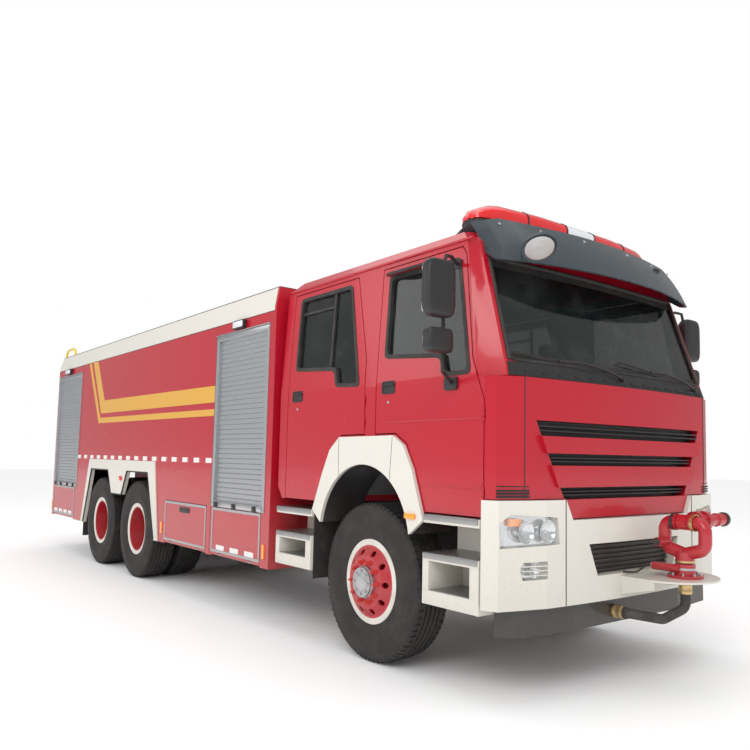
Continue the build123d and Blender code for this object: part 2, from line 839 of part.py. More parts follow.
with BuildPart() as cab_shell:
    with BuildSketch(plan_plane(cab_bottom_z)):
        lower_cab()
    extrude(amount=1960.0 - cab_bottom_z)
    for lower, upper in zip(cab_sections, cab_sections[1:]):
        loft([cab_section(*lower), cab_section(*upper)], ruled=True)
    add(cab_space.part, mode=Mode.SUBTRACT)
    with BuildSketch(side_plane(2 * cab_half_width)):
        wheel_well()
    extrude(amount=4 * cab_half_width, mode=Mode.SUBTRACT)
    with BuildSketch(plan_plane(cab_bottom_z - 10)):
        with Locations((front_axle_x - 220, 0)):
            Rectangle(2160, 2 * tunnel_half_width)
    extrude(amount=tunnel_top_z + 10 - cab_bottom_z, mode=Mode.SUBTRACT)
    # Bottom rear corner
    with BuildSketch(side_plane(2 * cab_half_width)):
        Polygon(
            [(cab_rear_x - 1, cab_bottom_z - 1), (cab_rear_x + 75, cab_bottom_z - 1), (cab_rear_x - 1, cab_bottom_z + 100)],
            align=None,
        )
    extrude(amount=4 * cab_half_width, mode=Mode.SUBTRACT)
    # Door openings through the wall band only, so that the floor's edge stays
    for outline in door_outlines.values():
        with BuildSketch(side_plane(2 * cab_half_width), mode=Mode.PRIVATE) as opening:
            Polygon(station(outline), align=None)
            offset(amount=door_gap, kind=Kind.INTERSECTION)
        for start in (2 * cab_half_width, -cab_gutter_half_width + cab_wall + 1):
            extrude(
                opening.sketch.moved(Location((0, start - 2 * cab_half_width, 0))),
                amount=2 * cab_half_width - cab_gutter_half_width + cab_wall + 1,
                dir=(0, -1, 0),
                mode=Mode.SUBTRACT,
            )
    with BuildSketch(front_plane(front_axle_x + 1000)):
        Polygon(screen_outline, align=None)
    extrude(amount=600, mode=Mode.SUBTRACT)
    # Fixed halves of the door hinges: a pocket for the door's knuckle, two knuckles and the pin
    for hinge_x, starts in door_hinges.values():
        for side in (1, -1):
            for start in starts:
                with BuildSketch(plan_plane(start + hinge_knuckle)):
                    hinge_disc(hinge_x, side, hinge_radius + moving_gap)
                extrude(amount=hinge_length - 2 * hinge_knuckle, mode=Mode.SUBTRACT)
                for foot in (start, start + hinge_length - hinge_knuckle):
                    with BuildSketch(plan_plane(foot)):
                        hinge_leaf(hinge_x, side, 10.0)
                    extrude(amount=hinge_knuckle)
                with BuildSketch(plan_plane(start)):
                    hinge_disc(hinge_x, side, hinge_pin_radius)
                extrude(amount=hinge_length)
cab_shell.part.label = "cab_shell"
export_step(cab_shell.part, "parts/cab_shell.step")

# Windscreen: a skin of the same lofts, cut to the opening

with BuildPart() as screen_back:
    loft([cab_section(*cab_sections[0], inset=18.0), cab_section(*cab_sections[1], inset=18.0)], ruled=True)

with BuildPart() as windscreen:
    loft([cab_section(*cab_sections[0], inset=10.0), cab_section(*cab_sections[1], inset=10.0)], ruled=True)
    add(screen_back.part, mode=Mode.SUBTRACT)
    with BuildSketch(front_plane(front_axle_x + 1000)):
        Polygon(screen_outline, align=None)
    extrude(amount=600, mode=Mode.INTERSECT)
windscreen.part.label = "windscreen"
export_step(windscreen.part, "parts/windscreen.step")

# Doors: panels as thick as the cab wall, hinged at their front edge, with the glass as a piece of its own

for place, outline in door_outlines.items():
    for hand, side in (("left", 1), ("right", -1)):
        with BuildPart() as door:
            with BuildSketch(front_plane(front_axle_x - 1400)):
                Polygon([(side * y, z) for y, z in wall_band], align=None)
            extrude(amount=2900)
            with BuildSketch(side_plane(2 * cab_half_width)):
                Polygon(station(outline), align=None)
            extrude(amount=4 * cab_half_width, mode=Mode.INTERSECT)
            with BuildSketch(side_plane(2 * cab_half_width)):
                Polygon(station(window_outlines[place]), align=None)
            extrude(amount=4 * cab_half_width, mode=Mode.SUBTRACT)
            # Moving halves of the hinges
            hinge_x, starts = door_hinges[place]
            for start in starts:
                with BuildSketch(plan_plane(start - moving_gap)):
                    hinge_disc(hinge_x, side, hinge_radius + moving_gap)
                extrude(amount=hinge_length + 2 * moving_gap, mode=Mode.SUBTRACT)
                with BuildSketch(plan_plane(start + hinge_knuckle + moving_gap)):
                    hinge_leaf(hinge_x, side, -20.0)
                    hinge_disc(hinge_x, side, hinge_pin_radius + running_gap, mode=Mode.SUBTRACT)
                extrude(amount=hinge_length - 2 * hinge_knuckle - 2 * moving_gap)
        write_step(door, f"{place}_{hand}_door")

        with BuildPart() as door_glass:
            with BuildSketch(front_plane(front_axle_x - 1400)):
                Polygon([(side * y, z) for y, z in glass_band], align=None)
            extrude(amount=2900)
            with BuildSketch(side_plane(2 * cab_half_width)):
                Polygon(station(window_outlines[place]), align=None)
            extrude(amount=4 * cab_half_width, mode=Mode.INTERSECT)
        write_step(door_glass, f"{place}_{hand}_glass")

# Mirrors on the front doors: a bent tube from two brackets, a tall housing and a small one

mirror_y = 1430.0
mirror_x = front_axle_x + 1030.0
mirror_tube_radius = 12.0
# bottom z, top z, width across
mirror_housings = [(2310.0, 2670.0, 230.0), (2090.0, 2245.0, 200.0)]

for hand, side in (("left", 1), ("right", -1)):
    lower_foot = (front_axle_x + 930, side * (cab_half_width + seat_gap), 1925.0)
    upper_foot = (front_axle_x + 930, side * 1172.0, 2700.0)
    with BuildPart() as mirror_arm:
        with BuildLine():
            tube_line = FilletPolyline(
                lower_foot,
                (mirror_x - 20, side * (mirror_y - 60), 1990.0),
                (mirror_x - 20, side * (mirror_y - 60), 2720.0),
                upper_foot,
                radius=50,
            )
        with BuildSketch(Plane(origin=tube_line @ 0, z_dir=tube_line % 0)):
            Circle(mirror_tube_radius)
        sweep()
        # Foot plates on the door skin
        with BuildSketch(side_plane(side * (cab_half_width + seat_gap + 10) + 10)):
            with Locations((front_axle_x + 925, 1925)):
                Rectangle(120, 90)
        extrude(amount=20)
        for bottom_z, top_z, width in mirror_housings:
            with BuildSketch(plan_plane(bottom_z)):
                with Locations((mirror_x, side * mirror_y)):
                    RectangleRounded(90, width, 30)
            extrude(amount=top_z - bottom_z)
    # What would reach into the door skin is cut away
    with BuildPart() as door_mirror:
        add(mirror_arm.part)
        with BuildSketch(front_plane(front_axle_x)):
            Polygon(
                [
                    (0, 1000),
                    (side * (cab_half_width + seat_gap), 1000),
                    (side * (cab_half_width + seat_gap), cab_belt_z),
                    (side * (cab_gutter_half_width + seat_gap), cab_gutter_z),
                    (0, cab_gutter_z),
                ],
                align=None,
            )
        extrude(amount=1600, mode=Mode.SUBTRACT)
    write_step(door_mirror, f"{hand}_mirror")

# Wheel fenders of the cab: an outer plate round the arch and the liner over the tyre

fender_thickness = 25.0
liner_sheet = 6.0
liner_inner_y = 860.0

with BuildPart() as cab_fenders:
    with BuildSketch(side_plane(cab_half_width + fender_thickness)):
        Polygon(station([(-540.0, 950.0), *fender_outline, (550.0, 950.0)]), align=None)
        with Locations((arch_x, arch_z)):
            Circle(arch_radius, mode=Mode.SUBTRACT)
    extrude(amount=fender_thickness - seat_gap)
    with BuildSketch(side_plane(cab_half_width + 1)):
        with Locations((arch_x, arch_z)):
            Circle(arch_radius + liner_sheet)
            Circle(arch_radius, mode=Mode.SUBTRACT)
        with Locations((arch_x, 950 - 500)):
            Rectangle(3 * arch_radius, 1000, mode=Mode.SUBTRACT)
    extrude(amount=cab_half_width + 1 - liner_inner_y)
    mirror(about=Plane.XZ)
cab_fenders.part.label = "cab_fenders"
export_step(cab_fenders.part, "parts/cab_fenders.step")

# Steps: one bent profile a unit. x from, x to, box bottom, box top, tread bottom, tread top

step_units = [
    (695.0, 1210.0, 530.0, 850.0, 1040.0, 1092.0),
    (-1215.0, -662.0, 565.0, 830.0, 985.0, 1032.0),
]
step_inner_y = 900.0
step_wall = 30.0
step_arm_y = rail_half_width + seat_gap

with BuildPart() as cab_steps:
    for x_from, x_to, box_bottom, box_top, tread_bottom, tread_top in step_units:
        with BuildSketch(front_plane(front_axle_x + x_from)):
            Polygon(
                [
                    (step_inner_y, box_bottom),
                    (bumper_half_width - 3, box_bottom),
                    (bumper_half_width - 3, box_top),
                    (step_inner_y + step_wall, box_top),
                    (step_inner_y + step_wall, tread_bottom),
                    (bumper_half_width - 8, tread_bottom),
                    (bumper_half_width - 8, tread_top),
                    (step_inner_y, tread_top),
                ],
                align=None,
            )
        extrude(amount=x_to - x_from)
        # Bracket from the rail
        with BuildSketch(side_plane(step_inner_y)):
            with Locations((front_axle_x + (x_from + x_to) / 2, 800)):
                Rectangle(70, 60)
        extrude(amount=step_inner_y - step_arm_y)
    mirror(about=Plane.XZ)
cab_steps.part.label = "cab_steps"
export_step(cab_steps.part, "parts/cab_steps.step")

# Front panel: hood face with corner panels, a tapered opening and three louvres across it

panel_back_x = cab_front_x + seat_gap
# Half width of the grille opening at each height
grille_top_z = 1695.0
grille_bottom_z = 1092.0
grille_top_half = 930.0
grille_bottom_half = 630.0
nose_cheek = 20.0
# bottom z, top z, how far the ends run into the panel beside them
louvre_table = [
    (1495.0, 1600.0, 30.0),
    (1285.0, 1420.0, 30.0),
    (1092.0, 1210.0, nose_cheek),
]


def grille_half(z):
    """Half width of the grille opening at a height."""
    share = (z - grille_bottom_z) / (grille_top_z - grille_bottom_z)
    return grille_bottom_half + share * (grille_top_half - grille_bottom_half)


panel_bottom_z = 1216.0
panel_top_z = 1955.0
panel_plan = [
    (cab_corner_x, cab_half_width),
    (front_axle_x + 1300, 1195.0),
    (front_axle_x + 1372, 1020.0),
]

with BuildPart() as front_panel:
    with BuildSketch(plan_plane(panel_bottom_z)):
        with BuildLine():
            right = [(x, -y) for x, y in panel_plan]
            Polyline(*right)
            ThreePointArc(right[-1], (panel_front_x, 0), panel_plan[-1])
            Polyline(*reversed(panel_plan))
            Polyline(
                panel_plan[0],
                (cab_corner_x + 4, cab_half_width - 6),
                (panel_back_x, 1142.0),
                (panel_back_x, -1142.0),
                (cab_corner_x + 4, -cab_half_width + 6),
                right[0],
            )
        make_face()
    extrude(amount=panel_top_z - panel_bottom_z)
    # Nose below the corner panels, down into the bumper's notch
    with BuildSketch(front_plane(panel_back_x)):
        Polygon(
            [
                (-grille_bottom_half - nose_cheek, grille_bottom_z),
                (grille_bottom_half + nose_cheek, grille_bottom_z),
                (grille_half(panel_bottom_z) + nose_cheek, panel_bottom_z),
                (-grille_half(panel_bottom_z) - nose_cheek, panel_bottom_z),
            ],
            align=None,
        )
    extrude(amount=front_axle_x + 1412 - panel_back_x)
    # The opening for the grille
    with BuildSketch(front_plane(panel_back_x - 1)):
        Polygon(
            [
                (-grille_half(grille_bottom_z - 1), grille_bottom_z - 1),
                (grille_half(grille_bottom_z - 1), grille_bottom_z - 1),
                (grille_top_half, grille_top_z),
                (-grille_top_half, grille_top_z),
            ],
            align=None,
        )
    extrude(amount=200, mode=Mode.SUBTRACT)
    for bottom_z, top_z, reach in louvre_table:
        with BuildSketch(front_plane(panel_back_x + 30)):
            Polygon(
                [
                    (-grille_half(bottom_z) - reach, bottom_z),
                    (grille_half(bottom_z) + reach, bottom_z),
                    (grille_half(top_z) + reach, top_z),
                    (-grille_half(top_z) - reach, top_z),
                ],
                align=None,
            )
        extrude(amount=85)
front_panel.part.label = "front_panel"
export_step(front_panel.part, "parts/front_panel.step")

# Grille: the dark plate behind the louvres, and the cowl under the windscreen

with BuildPart() as grille:
    with BuildSketch(front_plane(panel_back_x)):
        Polygon(
            [
                (-grille_half(grille_bottom_z) + 1, grille_bottom_z + 1),
                (grille_half(grille_bottom_z) - 1, grille_bottom_z + 1),
                (grille_top_half - 1, grille_top_z - 1),
                (-grille_top_half + 1, grille_top_z - 1),
            ],
            align=None,
        )
    extrude(amount=25)
grille.part.label = "grille"
export_step(grille.part, "parts/grille.step")

# Bumper: a bent shell with a notch for the nose, pockets for the lamps and the central intake

bumper_plan = [
    (front_axle_x + 1230.0, bumper_half_width),
    (front_axle_x + 1330.0, 1200.0),
    (front_axle_x + 1425.0, 880.0),
]
bumper_shell = 70.0
bumper_back = [
    (front_axle_x + 1236.0, bumper_half_width - 13),
    (front_axle_x + 1308.0, 1160.0),
    (front_axle_x + 1375.0, 850.0),
]
head_lamp = [(770.0, 945.0), (1190.0, 930.0), (1195.0, 1075.0), (1120.0, 1128.0), (790.0, 1105.0)]
fog_lamp = [(870.0, 745.0), (1040.0, 740.0), (1060.0, 800.0), (1040.0, 845.0), (870.0, 848.0)]
intake = [(-430.0, 729.0), (430.0, 729.0), (510.0, 931.0), (-510.0, 931.0)]

with BuildPart() as front_bumper:
    with BuildSketch(plan_plane(bumper_bottom_z)):
        with BuildLine():
            right = [(x, -y) for x, y in bumper_plan]
            right_back = [(x, -y) for x, y in bumper_back]
            Polyline(*right)
            ThreePointArc(right[-1], (bumper_front_x, 0), bumper_plan[-1])
            Polyline(*reversed(bumper_plan), *bumper_back)
            Line(bumper_back[-1], right_back[-1])
            Polyline(*reversed(right_back), right[0])
        make_face()
    extrude(amount=bumper_top_z - bumper_bottom_z)
    with BuildSketch(front_plane(front_axle_x + 1000)):
        Polygon(
            [
                (-655.0, 1085.0),
                (655.0, 1085.0),
                (715.0, bumper_top_z + 1),
                (-715.0, bumper_top_z + 1),
            ],
            align=None,
        )
    extrude(amount=600, mode=Mode.SUBTRACT)
    with BuildSketch(front_plane(front_axle_x + 1000)):
        Polygon(intake, align=None)
        for side in (1, -1):
            Polygon([(side * y, z) for y, z in head_lamp], align=None)
            Polygon([(side * y, z) for y, z in fog_lamp], align=None)
    extrude(amount=600, mode=Mode.SUBTRACT)
    # Brackets back to the front cross beam
    for y in (-540, 620):
        with BuildSketch(side_plane(y)):
            Polygon(
                [
                    (front_beam_x + front_beam_depth + seat_gap, 830),
                    (front_axle_x + 1376, 960),
                    (front_axle_x + 1376, 1050),
                    (front_beam_x + front_beam_depth + seat_gap, 910),
                ],
                align=None,
            )
        extrude(amount=80)
front_bumper.part.label = "front_bumper"
export_step(front_bumper.part, "parts/front_bumper.step")

# Lamps in the bumper's pockets

with BuildPart() as headlamps:
    with BuildSketch(plan_plane(bumper_bottom_z)):
        with BuildLine():
            lens = [(x - 12, y - 6) for x, y in bumper_plan[1:]]
            back = [(x + 2, y + 4) for x, y in bumper_back[1:]]
            inner_end = [(lens[-1][0] + 30, 700.0), (back[-1][0] + 15, 700.0)]
            Polyline(*lens, *inner_end, *reversed(back), close=True)
        make_face()
    extrude(amount=bumper_top_z - bumper_bottom_z)
    with BuildSketch(front_plane(front_axle_x + 1000)):
        Polygon(head_lamp, align=None)
        Polygon(fog_lamp, align=None)
        offset(amount=-seat_gap, kind=Kind.INTERSECTION)
    extrude(amount=600, mode=Mode.INTERSECT)
    mirror(about=Plane.XZ)
headlamps.part.label = "headlamps"
export_step(headlamps.part, "parts/headlamps.step")

# Sun visor with its round look-down mirror

visor_half_width = 1150.0
with BuildPart() as sun_visor:
    with BuildSketch(side_plane(visor_half_width)):
        Polygon(
            station(
                [
                    (1180.0, 2866.0),
                    (1290.0, 2885.0),
                    (1425.0, 2775.0),
                    (1432.0, 2722.0),
                    (1447.0, 2722.0),
                    (1455.0, 2790.0),
                    (1300.0, 2925.0),
                    (1150.0, 2930.0),
                ]
            ),
            align=None,
        )
    extrude(amount=2 * visor_half_width)
    visor_seat = [cab_section(*edge, inset=-seat_gap) for edge in cab_sections[1:]]
    loft(visor_seat, ruled=True, mode=Mode.SUBTRACT)
    with BuildSketch(front_plane(front_axle_x + 1440)):
        with Locations((-970, 2745)):
            Circle(90)
    extrude(amount=30)
sun_visor.part.label = "sun_visor"
export_step(sun_visor.part, "parts/sun_visor.step")

# Light bar on two feet

light_bar_x = front_axle_x + 850.0
light_bar_depth = 300.0
light_bar_top_z = 3230.0
with BuildPart() as light_bar:
    with BuildSketch(front_plane(light_bar_x - light_bar_depth / 2)):
        Polygon(
            [
                (-950, 3055),
                (950, 3055),
                (945, 3090),
                (740, light_bar_top_z),
                (-740, light_bar_top_z),
                (-945, 3090),
            ],
            align=None,
        )
    extrude(amount=light_bar_depth)
    for y in (-600, 600):
        with BuildSketch(plan_plane(cab_roof_z + seat_gap)):
            with Locations((light_bar_x, y)):
                Rectangle(160, 90)
        extrude(amount=3056 - cab_roof_z)
light_bar.part.label = "light_bar"
export_step(light_bar.part, "parts/light_bar.step")

# Wipers lying on the foot of the windscreen

# y of the pivot, y and z of the tip, x of the cab's face at the pivot
wiper_table = [
    (-30.0, -1050.0, 2110.0, front_axle_x + 1370.0),
    (958.0, -7.0, 2140.0, front_axle_x + 1336.0),
]
with BuildPart() as wipers:
    for pivot_y, tip_y, tip_z, face_x in wiper_table:
        with BuildSketch(front_plane(front_axle_x + 1378)):
            Polygon(
                [
                    (pivot_y - 18, 1995.0),
                    (pivot_y + 18, 1995.0),
                    (pivot_y + 18, 2035.0),
                    (tip_y, tip_z),
                    (tip_y, tip_z - 16),
                ],
                align=None,
            )
        extrude(amount=14)
        with BuildSketch(front_plane(face_x + seat_gap)):
            with Locations((pivot_y, 2012.0)):
                Circle(15)
        extrude(amount=front_axle_x + 1380 - face_x - seat_gap)
wipers.part.label = "wipers"
export_step(wipers.part, "parts/wipers.step")

# Dashboard with the steering wheel on its column, on the left

steering_wheel_y = 560.0
steering_wheel_lean = 65.0
dashboard_half_width = 1078.0
with BuildPart() as dashboard:
    with BuildSketch(side_plane(dashboard_half_width)):
        Polygon(
            station(
                [
                    (1240.0 - seat_gap, 1500.0),
                    (1240.0 - seat_gap, 1930.0),
                    (1180.0, 1960.0),
                    (960.0, 1940.0),
                    (930.0, 1780.0),
                    (1060.0, 1560.0),
                ]
            ),
            align=None,
        )
    extrude(amount=2 * dashboard_half_width)
    lean = radians(steering_wheel_lean)
    column = Plane(origin=(front_axle_x + 800, steering_wheel_y, 2060), z_dir=(-cos(lean), 0, sin(lean)))
    with BuildSketch(column):
        Circle(40)
    extrude(amount=-320)
    with BuildSketch(column):
        Circle(235)
        Circle(205, mode=Mode.SUBTRACT)
        Rectangle(440, 40)
        Circle(60)
    extrude(amount=28)
dashboard.part.label = "dashboard"
export_step(dashboard.part, "parts/dashboard.step")

# Seats: two in front and a bench behind, each a base, a cushion and a back in one outline

seat_floor_z = tunnel_top_z + 40
# x of the back, middle y, width, back top
seat_table = [
    (150.0, 600.0, 520.0, 2450.0),
    (150.0, -600.0, 520.0, 2450.0),
    (-1160.0, 0.0, 2000.0, 2400.0),
]
with BuildPart() as seats:
    for back_x, middle_y, width, top_z in seat_table:
        with BuildSketch(side_plane(middle_y + width / 2)):
            Polygon(
                station(
                    [
                        (back_x + 60, seat_floor_z + seat_gap),
                        (back_x + 420, seat_floor_z + seat_gap),
                        (back_x + 420, 1740.0),
                        (back_x + 540, 1760.0),
                        (back_x + 540, 1880.0),
                        (back_x + 150, 1860.0),
                        (back_x + 80, top_z),
                        (back_x, top_z),
                        (back_x + 30, 1740.0),
                    ]
                ),
                align=None,
            )
        extrude(amount=width)
seats.part.label = "seats"
export_step(seats.part, "parts/seats.step")

# Equipment body: side walls, front and rear walls, floor and the beams on the rails

arch_top_z = 1365.0
# Outer outline of the rear wheel arches, x from the front axle
arch_outline = [(-6733.0, body_bottom_z), (-6450.0, arch_top_z), (-3997.0, arch_top_z), (-3817.0, body_bottom_z)]
# x from, x to, of the roller shutters
shutter_table = [(-2483.0, -1413.0), (-8262.0, -7039.0)]
# name, x from, x to
flap_table = [("front", -2452.0, -1473.0), ("mid", -3650.0, -2590.0), ("rear", -8245.0, -7130.0)]
rear_shutter_half_width = 700.0

with BuildPart() as body_shell:
    with BuildSketch(plan_plane(body_bottom_z)):
        with Locations(((body_front_x + body_rear_x) / 2, 0)):
            Rectangle(body_front_x - body_rear_x, 2 * body_half_width)
            Rectangle(
                body_front_x - body_rear_x - 2 * body_wall,
                2 * (body_half_width - body_wall),
                mode=Mode.SUBTRACT,
            )
    extrude(amount=body_top_z - body_bottom_z)
    # Floor between the walls
    with BuildSketch(plan_plane(body_floor_z)):
        with Locations(((body_front_x + body_rear_x) / 2, 0)):
            Rectangle(body_front_x - body_rear_x - 2, 2 * body_half_width - 2)
    extrude(amount=body_floor)
    # Room for the chassis through the front and rear walls
    with BuildSketch(front_plane(body_rear_x - 1)):
        with Locations((0, (body_bottom_z + body_floor_z) / 2 - 1)):
            Rectangle(2 * 640, body_floor_z - body_bottom_z + 2)
    extrude(amount=body_front_x - body_rear_x + 2, mode=Mode.SUBTRACT)
    # Beams on the rails
    for y in (rail_half_width, -rail_inner_y):
        with BuildSketch(side_plane(y)):
            Polygon(
                [
                    (rail_rear_x, rail_top_z + seat_gap),
                    (body_front_x - 60, rail_top_z + seat_gap),
                    (body_front_x - 60, body_floor_z),
                    (rail_rear_x, body_floor_z),
                ],
                align=None,
            )
        extrude(amount=rail_flange)
    # Openings of the shutters, flaps and wheel arches, through both sides
    with BuildSketch(side_plane(2 * body_half_width)):
        for x_from, x_to in shutter_table:
            with Locations((front_axle_x + (x_from + x_to) / 2, (shutter_bottom_z + shutter_top_z) / 2)):
                Rectangle(x_to - x_from, shutter_top_z - shutter_bottom_z)
    extrude(amount=4 * body_half_width, mode=Mode.SUBTRACT)
    for side in (1, -1):
        with BuildSketch(side_plane(side * body_half_width + body_wall + 1)):
            for name, x_from, x_to in flap_table:
                with Locations((front_axle_x + (x_from + x_to) / 2, (body_bottom_z - 1 + flap_top_z + moving_gap) / 2)):
                    Rectangle(x_to - x_from + 2 * moving_gap, flap_top_z + moving_gap - body_bottom_z + 1)
            Polygon(station([(-6740.0, 480.0), *arch_outline, (-3810.0, 480.0)]), align=None)
        extrude(amount=2 * body_wall + 2, mode=Mode.SUBTRACT)
    # Rear opening for the shutter at the back
    with BuildSketch(front_plane(body_rear_x - 1)):
        with Locations((0, (body_floor_z + body_floor + 2500) / 2)):
            Rectangle(2 * rear_shutter_half_width, 2500 - body_floor_z - body_floor)
    extrude(amount=body_wall + 2, mode=Mode.SUBTRACT)
body_shell.part.label = "body_shell"
export_step(body_shell.part, "parts/body_shell.step")

# Roof deck with its coaming, which leans in and is cut back at the rear

deck_z = body_top_z + deck_thickness
coaming_thickness = 30.0
coaming_lean = 29.0
with BuildPart() as roof_deck:
    with BuildSketch(plan_plane(body_top_z)):
        with Locations(((body_front_x + body_rear_x) / 2, 0)):
            Rectangle(body_front_x - body_rear_x, 2 * body_half_width)
    extrude(amount=deck_thickness)
    for side in (1, -1):
        with BuildSketch(front_plane(body_rear_x)):
            Polygon(
                [
                    (side * body_half_width, deck_z),
                    (side * (body_half_width - coaming_lean), deck_z + coaming_height),
                    (side * (body_half_width - coaming_lean - coaming_thickness), deck_z + coaming_height),
                    (side * (body_half_width - coaming_thickness), deck_z),
                ],
                align=None,
            )
        extrude(amount=body_front_x - body_rear_x)
    for x_from in (body_rear_x + 90, body_front_x - coaming_thickness):
        with BuildSketch(front_plane(x_from)):
            Polygon(
                [
                    (-body_half_width + 20, deck_z),
                    (body_half_width - 20, deck_z),
                    (body_half_width - coaming_lean - 20, deck_z + coaming_height),
                    (-body_half_width + coaming_lean + 20, deck_z + coaming_height),
                ],
                align=None,
            )
        extrude(amount=coaming_thickness)
    with BuildSketch(side_plane(2 * body_half_width)):
        Polygon(
            [
                (body_rear_x - 1, deck_z + 1),
                (body_rear_x + 90, deck_z + coaming_height + 1),
                (body_rear_x - 1, deck_z + coaming_height + 1),
            ],
            align=None,
        )
    extrude(amount=4 * body_half_width, mode=Mode.SUBTRACT)
roof_deck.part.label = "roof_deck"
export_step(roof_deck.part, "parts/roof_deck.step")

# Rear wheel arches: one plate a side with two wheel openings and a tooth between them

arch_plate = 52.0
arch_proud = 12.0
wheel_openings = [
    [(-6625.0, 480.0), (-6345.0, 1233.0), (-5630.0, 1233.0), (-5465.0, 940.0), (-5275.0, 940.0), (-5275.0, 480.0)],
    [(-3925.0, 480.0), (-4205.0, 1233.0), (-4920.0, 1233.0), (-5085.0, 940.0), (-5275.0, 940.0), (-5275.0, 480.0)],
]
with BuildPart() as rear_arches:
    with BuildSketch(side_plane(body_half_width + arch_proud)):
        Polygon(station([(x, z) for x, z in arch_outline]), align=None)
        offset(amount=-seat_gap, kind=Kind.INTERSECTION)
        for opening in wheel_openings:
            Polygon(station(opening), align=None, mode=Mode.SUBTRACT)
    extrude(amount=arch_plate)
    # Liner over the twin tyres, hung from the plate
    with BuildSketch(side_plane(body_half_width - 1)):
        Polygon(
            station([(-6345.0, 1233.0), (-4205.0, 1233.0), (-4208.0, 1241.0), (-6342.0, 1241.0)]),
            align=None,
        )
    extrude(amount=body_half_width - 560)
    mirror(about=Plane.XZ)
rear_arches.part.label = "rear_arches"
export_step(rear_arches.part, "parts/rear_arches.step")

# Roller shutters: a ribbed curtain in a flat frame, with a lift bar along its foot

slat_pitch = 46.0
shutter_frame = 55.0
curtain_y = body_half_width - 22
slat_depth = 6.0


def curtain_profile(outer, bottom, top):
    """Ribbed outline of a curtain: out and in again once a slat."""
    points = [(outer - 12, bottom), (outer, bottom)]
    z = bottom
    while z + slat_pitch < top:
        points += [(outer, z + slat_pitch * 0.8), (outer - slat_depth, z + slat_pitch * 0.9), (outer, z + slat_pitch)]
        z += slat_pitch
    return points + [(outer, top), (outer - 12, top)]


with BuildPart() as roller_shutters:
    for x_from, x_to in shutter_table:
        low_x = front_axle_x + x_from + seat_gap
        width = x_to - x_from - 2 * seat_gap
        with BuildSketch(side_plane(body_half_width + 5)):
            with Locations((low_x + width / 2, (shutter_bottom_z + shutter_top_z) / 2)):
                Rectangle(width, shutter_top_z - shutter_bottom_z - 2 * seat_gap)
                Rectangle(
                    width - 2 * shutter_frame,
                    shutter_top_z - shutter_bottom_z - 2 * shutter_frame,
                    mode=Mode.SUBTRACT,
                )
        extrude(amount=35)
        with BuildSketch(front_plane(low_x + shutter_frame - 1)):
            Polygon(
                curtain_profile(curtain_y, shutter_bottom_z + shutter_frame - 1, shutter_top_z - shutter_frame + 1),
                align=None,
            )
        extrude(amount=width - 2 * shutter_frame + 2)
    mirror(about=Plane.XZ)
    rear_bottom = body_floor_z + body_floor + seat_gap
    rear_top = 2500 - seat_gap
    with BuildSketch(front_plane(body_rear_x)):
        with Locations((0, (rear_bottom + rear_top) / 2)):
            Rectangle(2 * (rear_shutter_half_width - seat_gap), rear_top - rear_bottom)
    extrude(amount=15)
roller_shutters.part.label = "roller_shutters"
export_step(roller_shutters.part, "parts/roller_shutters.step")

# Lockers behind the flaps, open at the side, hung from the body's floor by their back plates

# Axis of the flap hinges, their fixed knuckles, and how far in from the flap's ends they sit
flap_axis_y = body_half_width - 6
flap_axis_z = flap_bottom_z + 7
flap_knuckle_radius = 8.0
flap_knuckle_length = 40.0
flap_pin_radius = 3.5
flap_pin_length = 92.0
flap_hinge_inset = 180.0
locker_outer_y = body_half_width - body_wall - seat_gap
locker_inner_y = locker_outer_y - locker_depth
with BuildPart() as side_lockers:
    for name, x_from, x_to in flap_table:
        low_x = front_axle_x + x_from - 4
        high_x = front_axle_x + x_to + 4
        with BuildSketch(side_plane(locker_outer_y)):
            Polygon(
                [(low_x - locker_sheet, 491), (high_x + locker_sheet, 491), (high_x + locker_sheet, 968), (low_x - locker_sheet, 968)],
                align=None,
            )
            Polygon(
                [(low_x, 491 + locker_sheet), (high_x, 491 + locker_sheet), (high_x, 968 - locker_sheet), (low_x, 968 - locker_sheet)],
                align=None,
                mode=Mode.SUBTRACT,
            )
        extrude(amount=locker_depth)
        with BuildSketch(side_plane(locker_inner_y + locker_sheet)):
            Polygon(
                [
                    (low_x - locker_sheet, 491),
                    (high_x + locker_sheet, 491),
                    (high_x + locker_sheet, body_floor_z - seat_gap),
                    (low_x - locker_sheet, body_floor_z - seat_gap),
                ],
                align=None,
            )
        extrude(amount=locker_sheet)
        for hinge_x in (x_from + flap_hinge_inset, x_to - flap_hinge_inset):
            with BuildSketch(front_plane(front_axle_x + hinge_x - flap_knuckle_length / 2)):
                with Locations((flap_axis_y, flap_axis_z)):
                    Circle(flap_knuckle_radius)
                Polygon(
                    [
                        (locker_outer_y - 1, 495),
                        (flap_axis_y, flap_axis_z - flap_knuckle_radius),
                        (flap_axis_y, flap_axis_z),
                        (locker_outer_y - 1, 507),
                    ],
                    align=None,
                )
            extrude(amount=flap_knuckle_length)
            with BuildSketch(front_plane(front_axle_x + hinge_x - flap_pin_length / 2)):
                with Locations((flap_axis_y, flap_axis_z)):
                    Circle(flap_pin_radius)
            extrude(amount=flap_pin_length)
    mirror(about=Plane.XZ)
side_lockers.part.label = "side_lockers"
export_step(side_lockers.part, "parts/side_lockers.step")

# Flaps: drop-down doors hinged along their lower edge

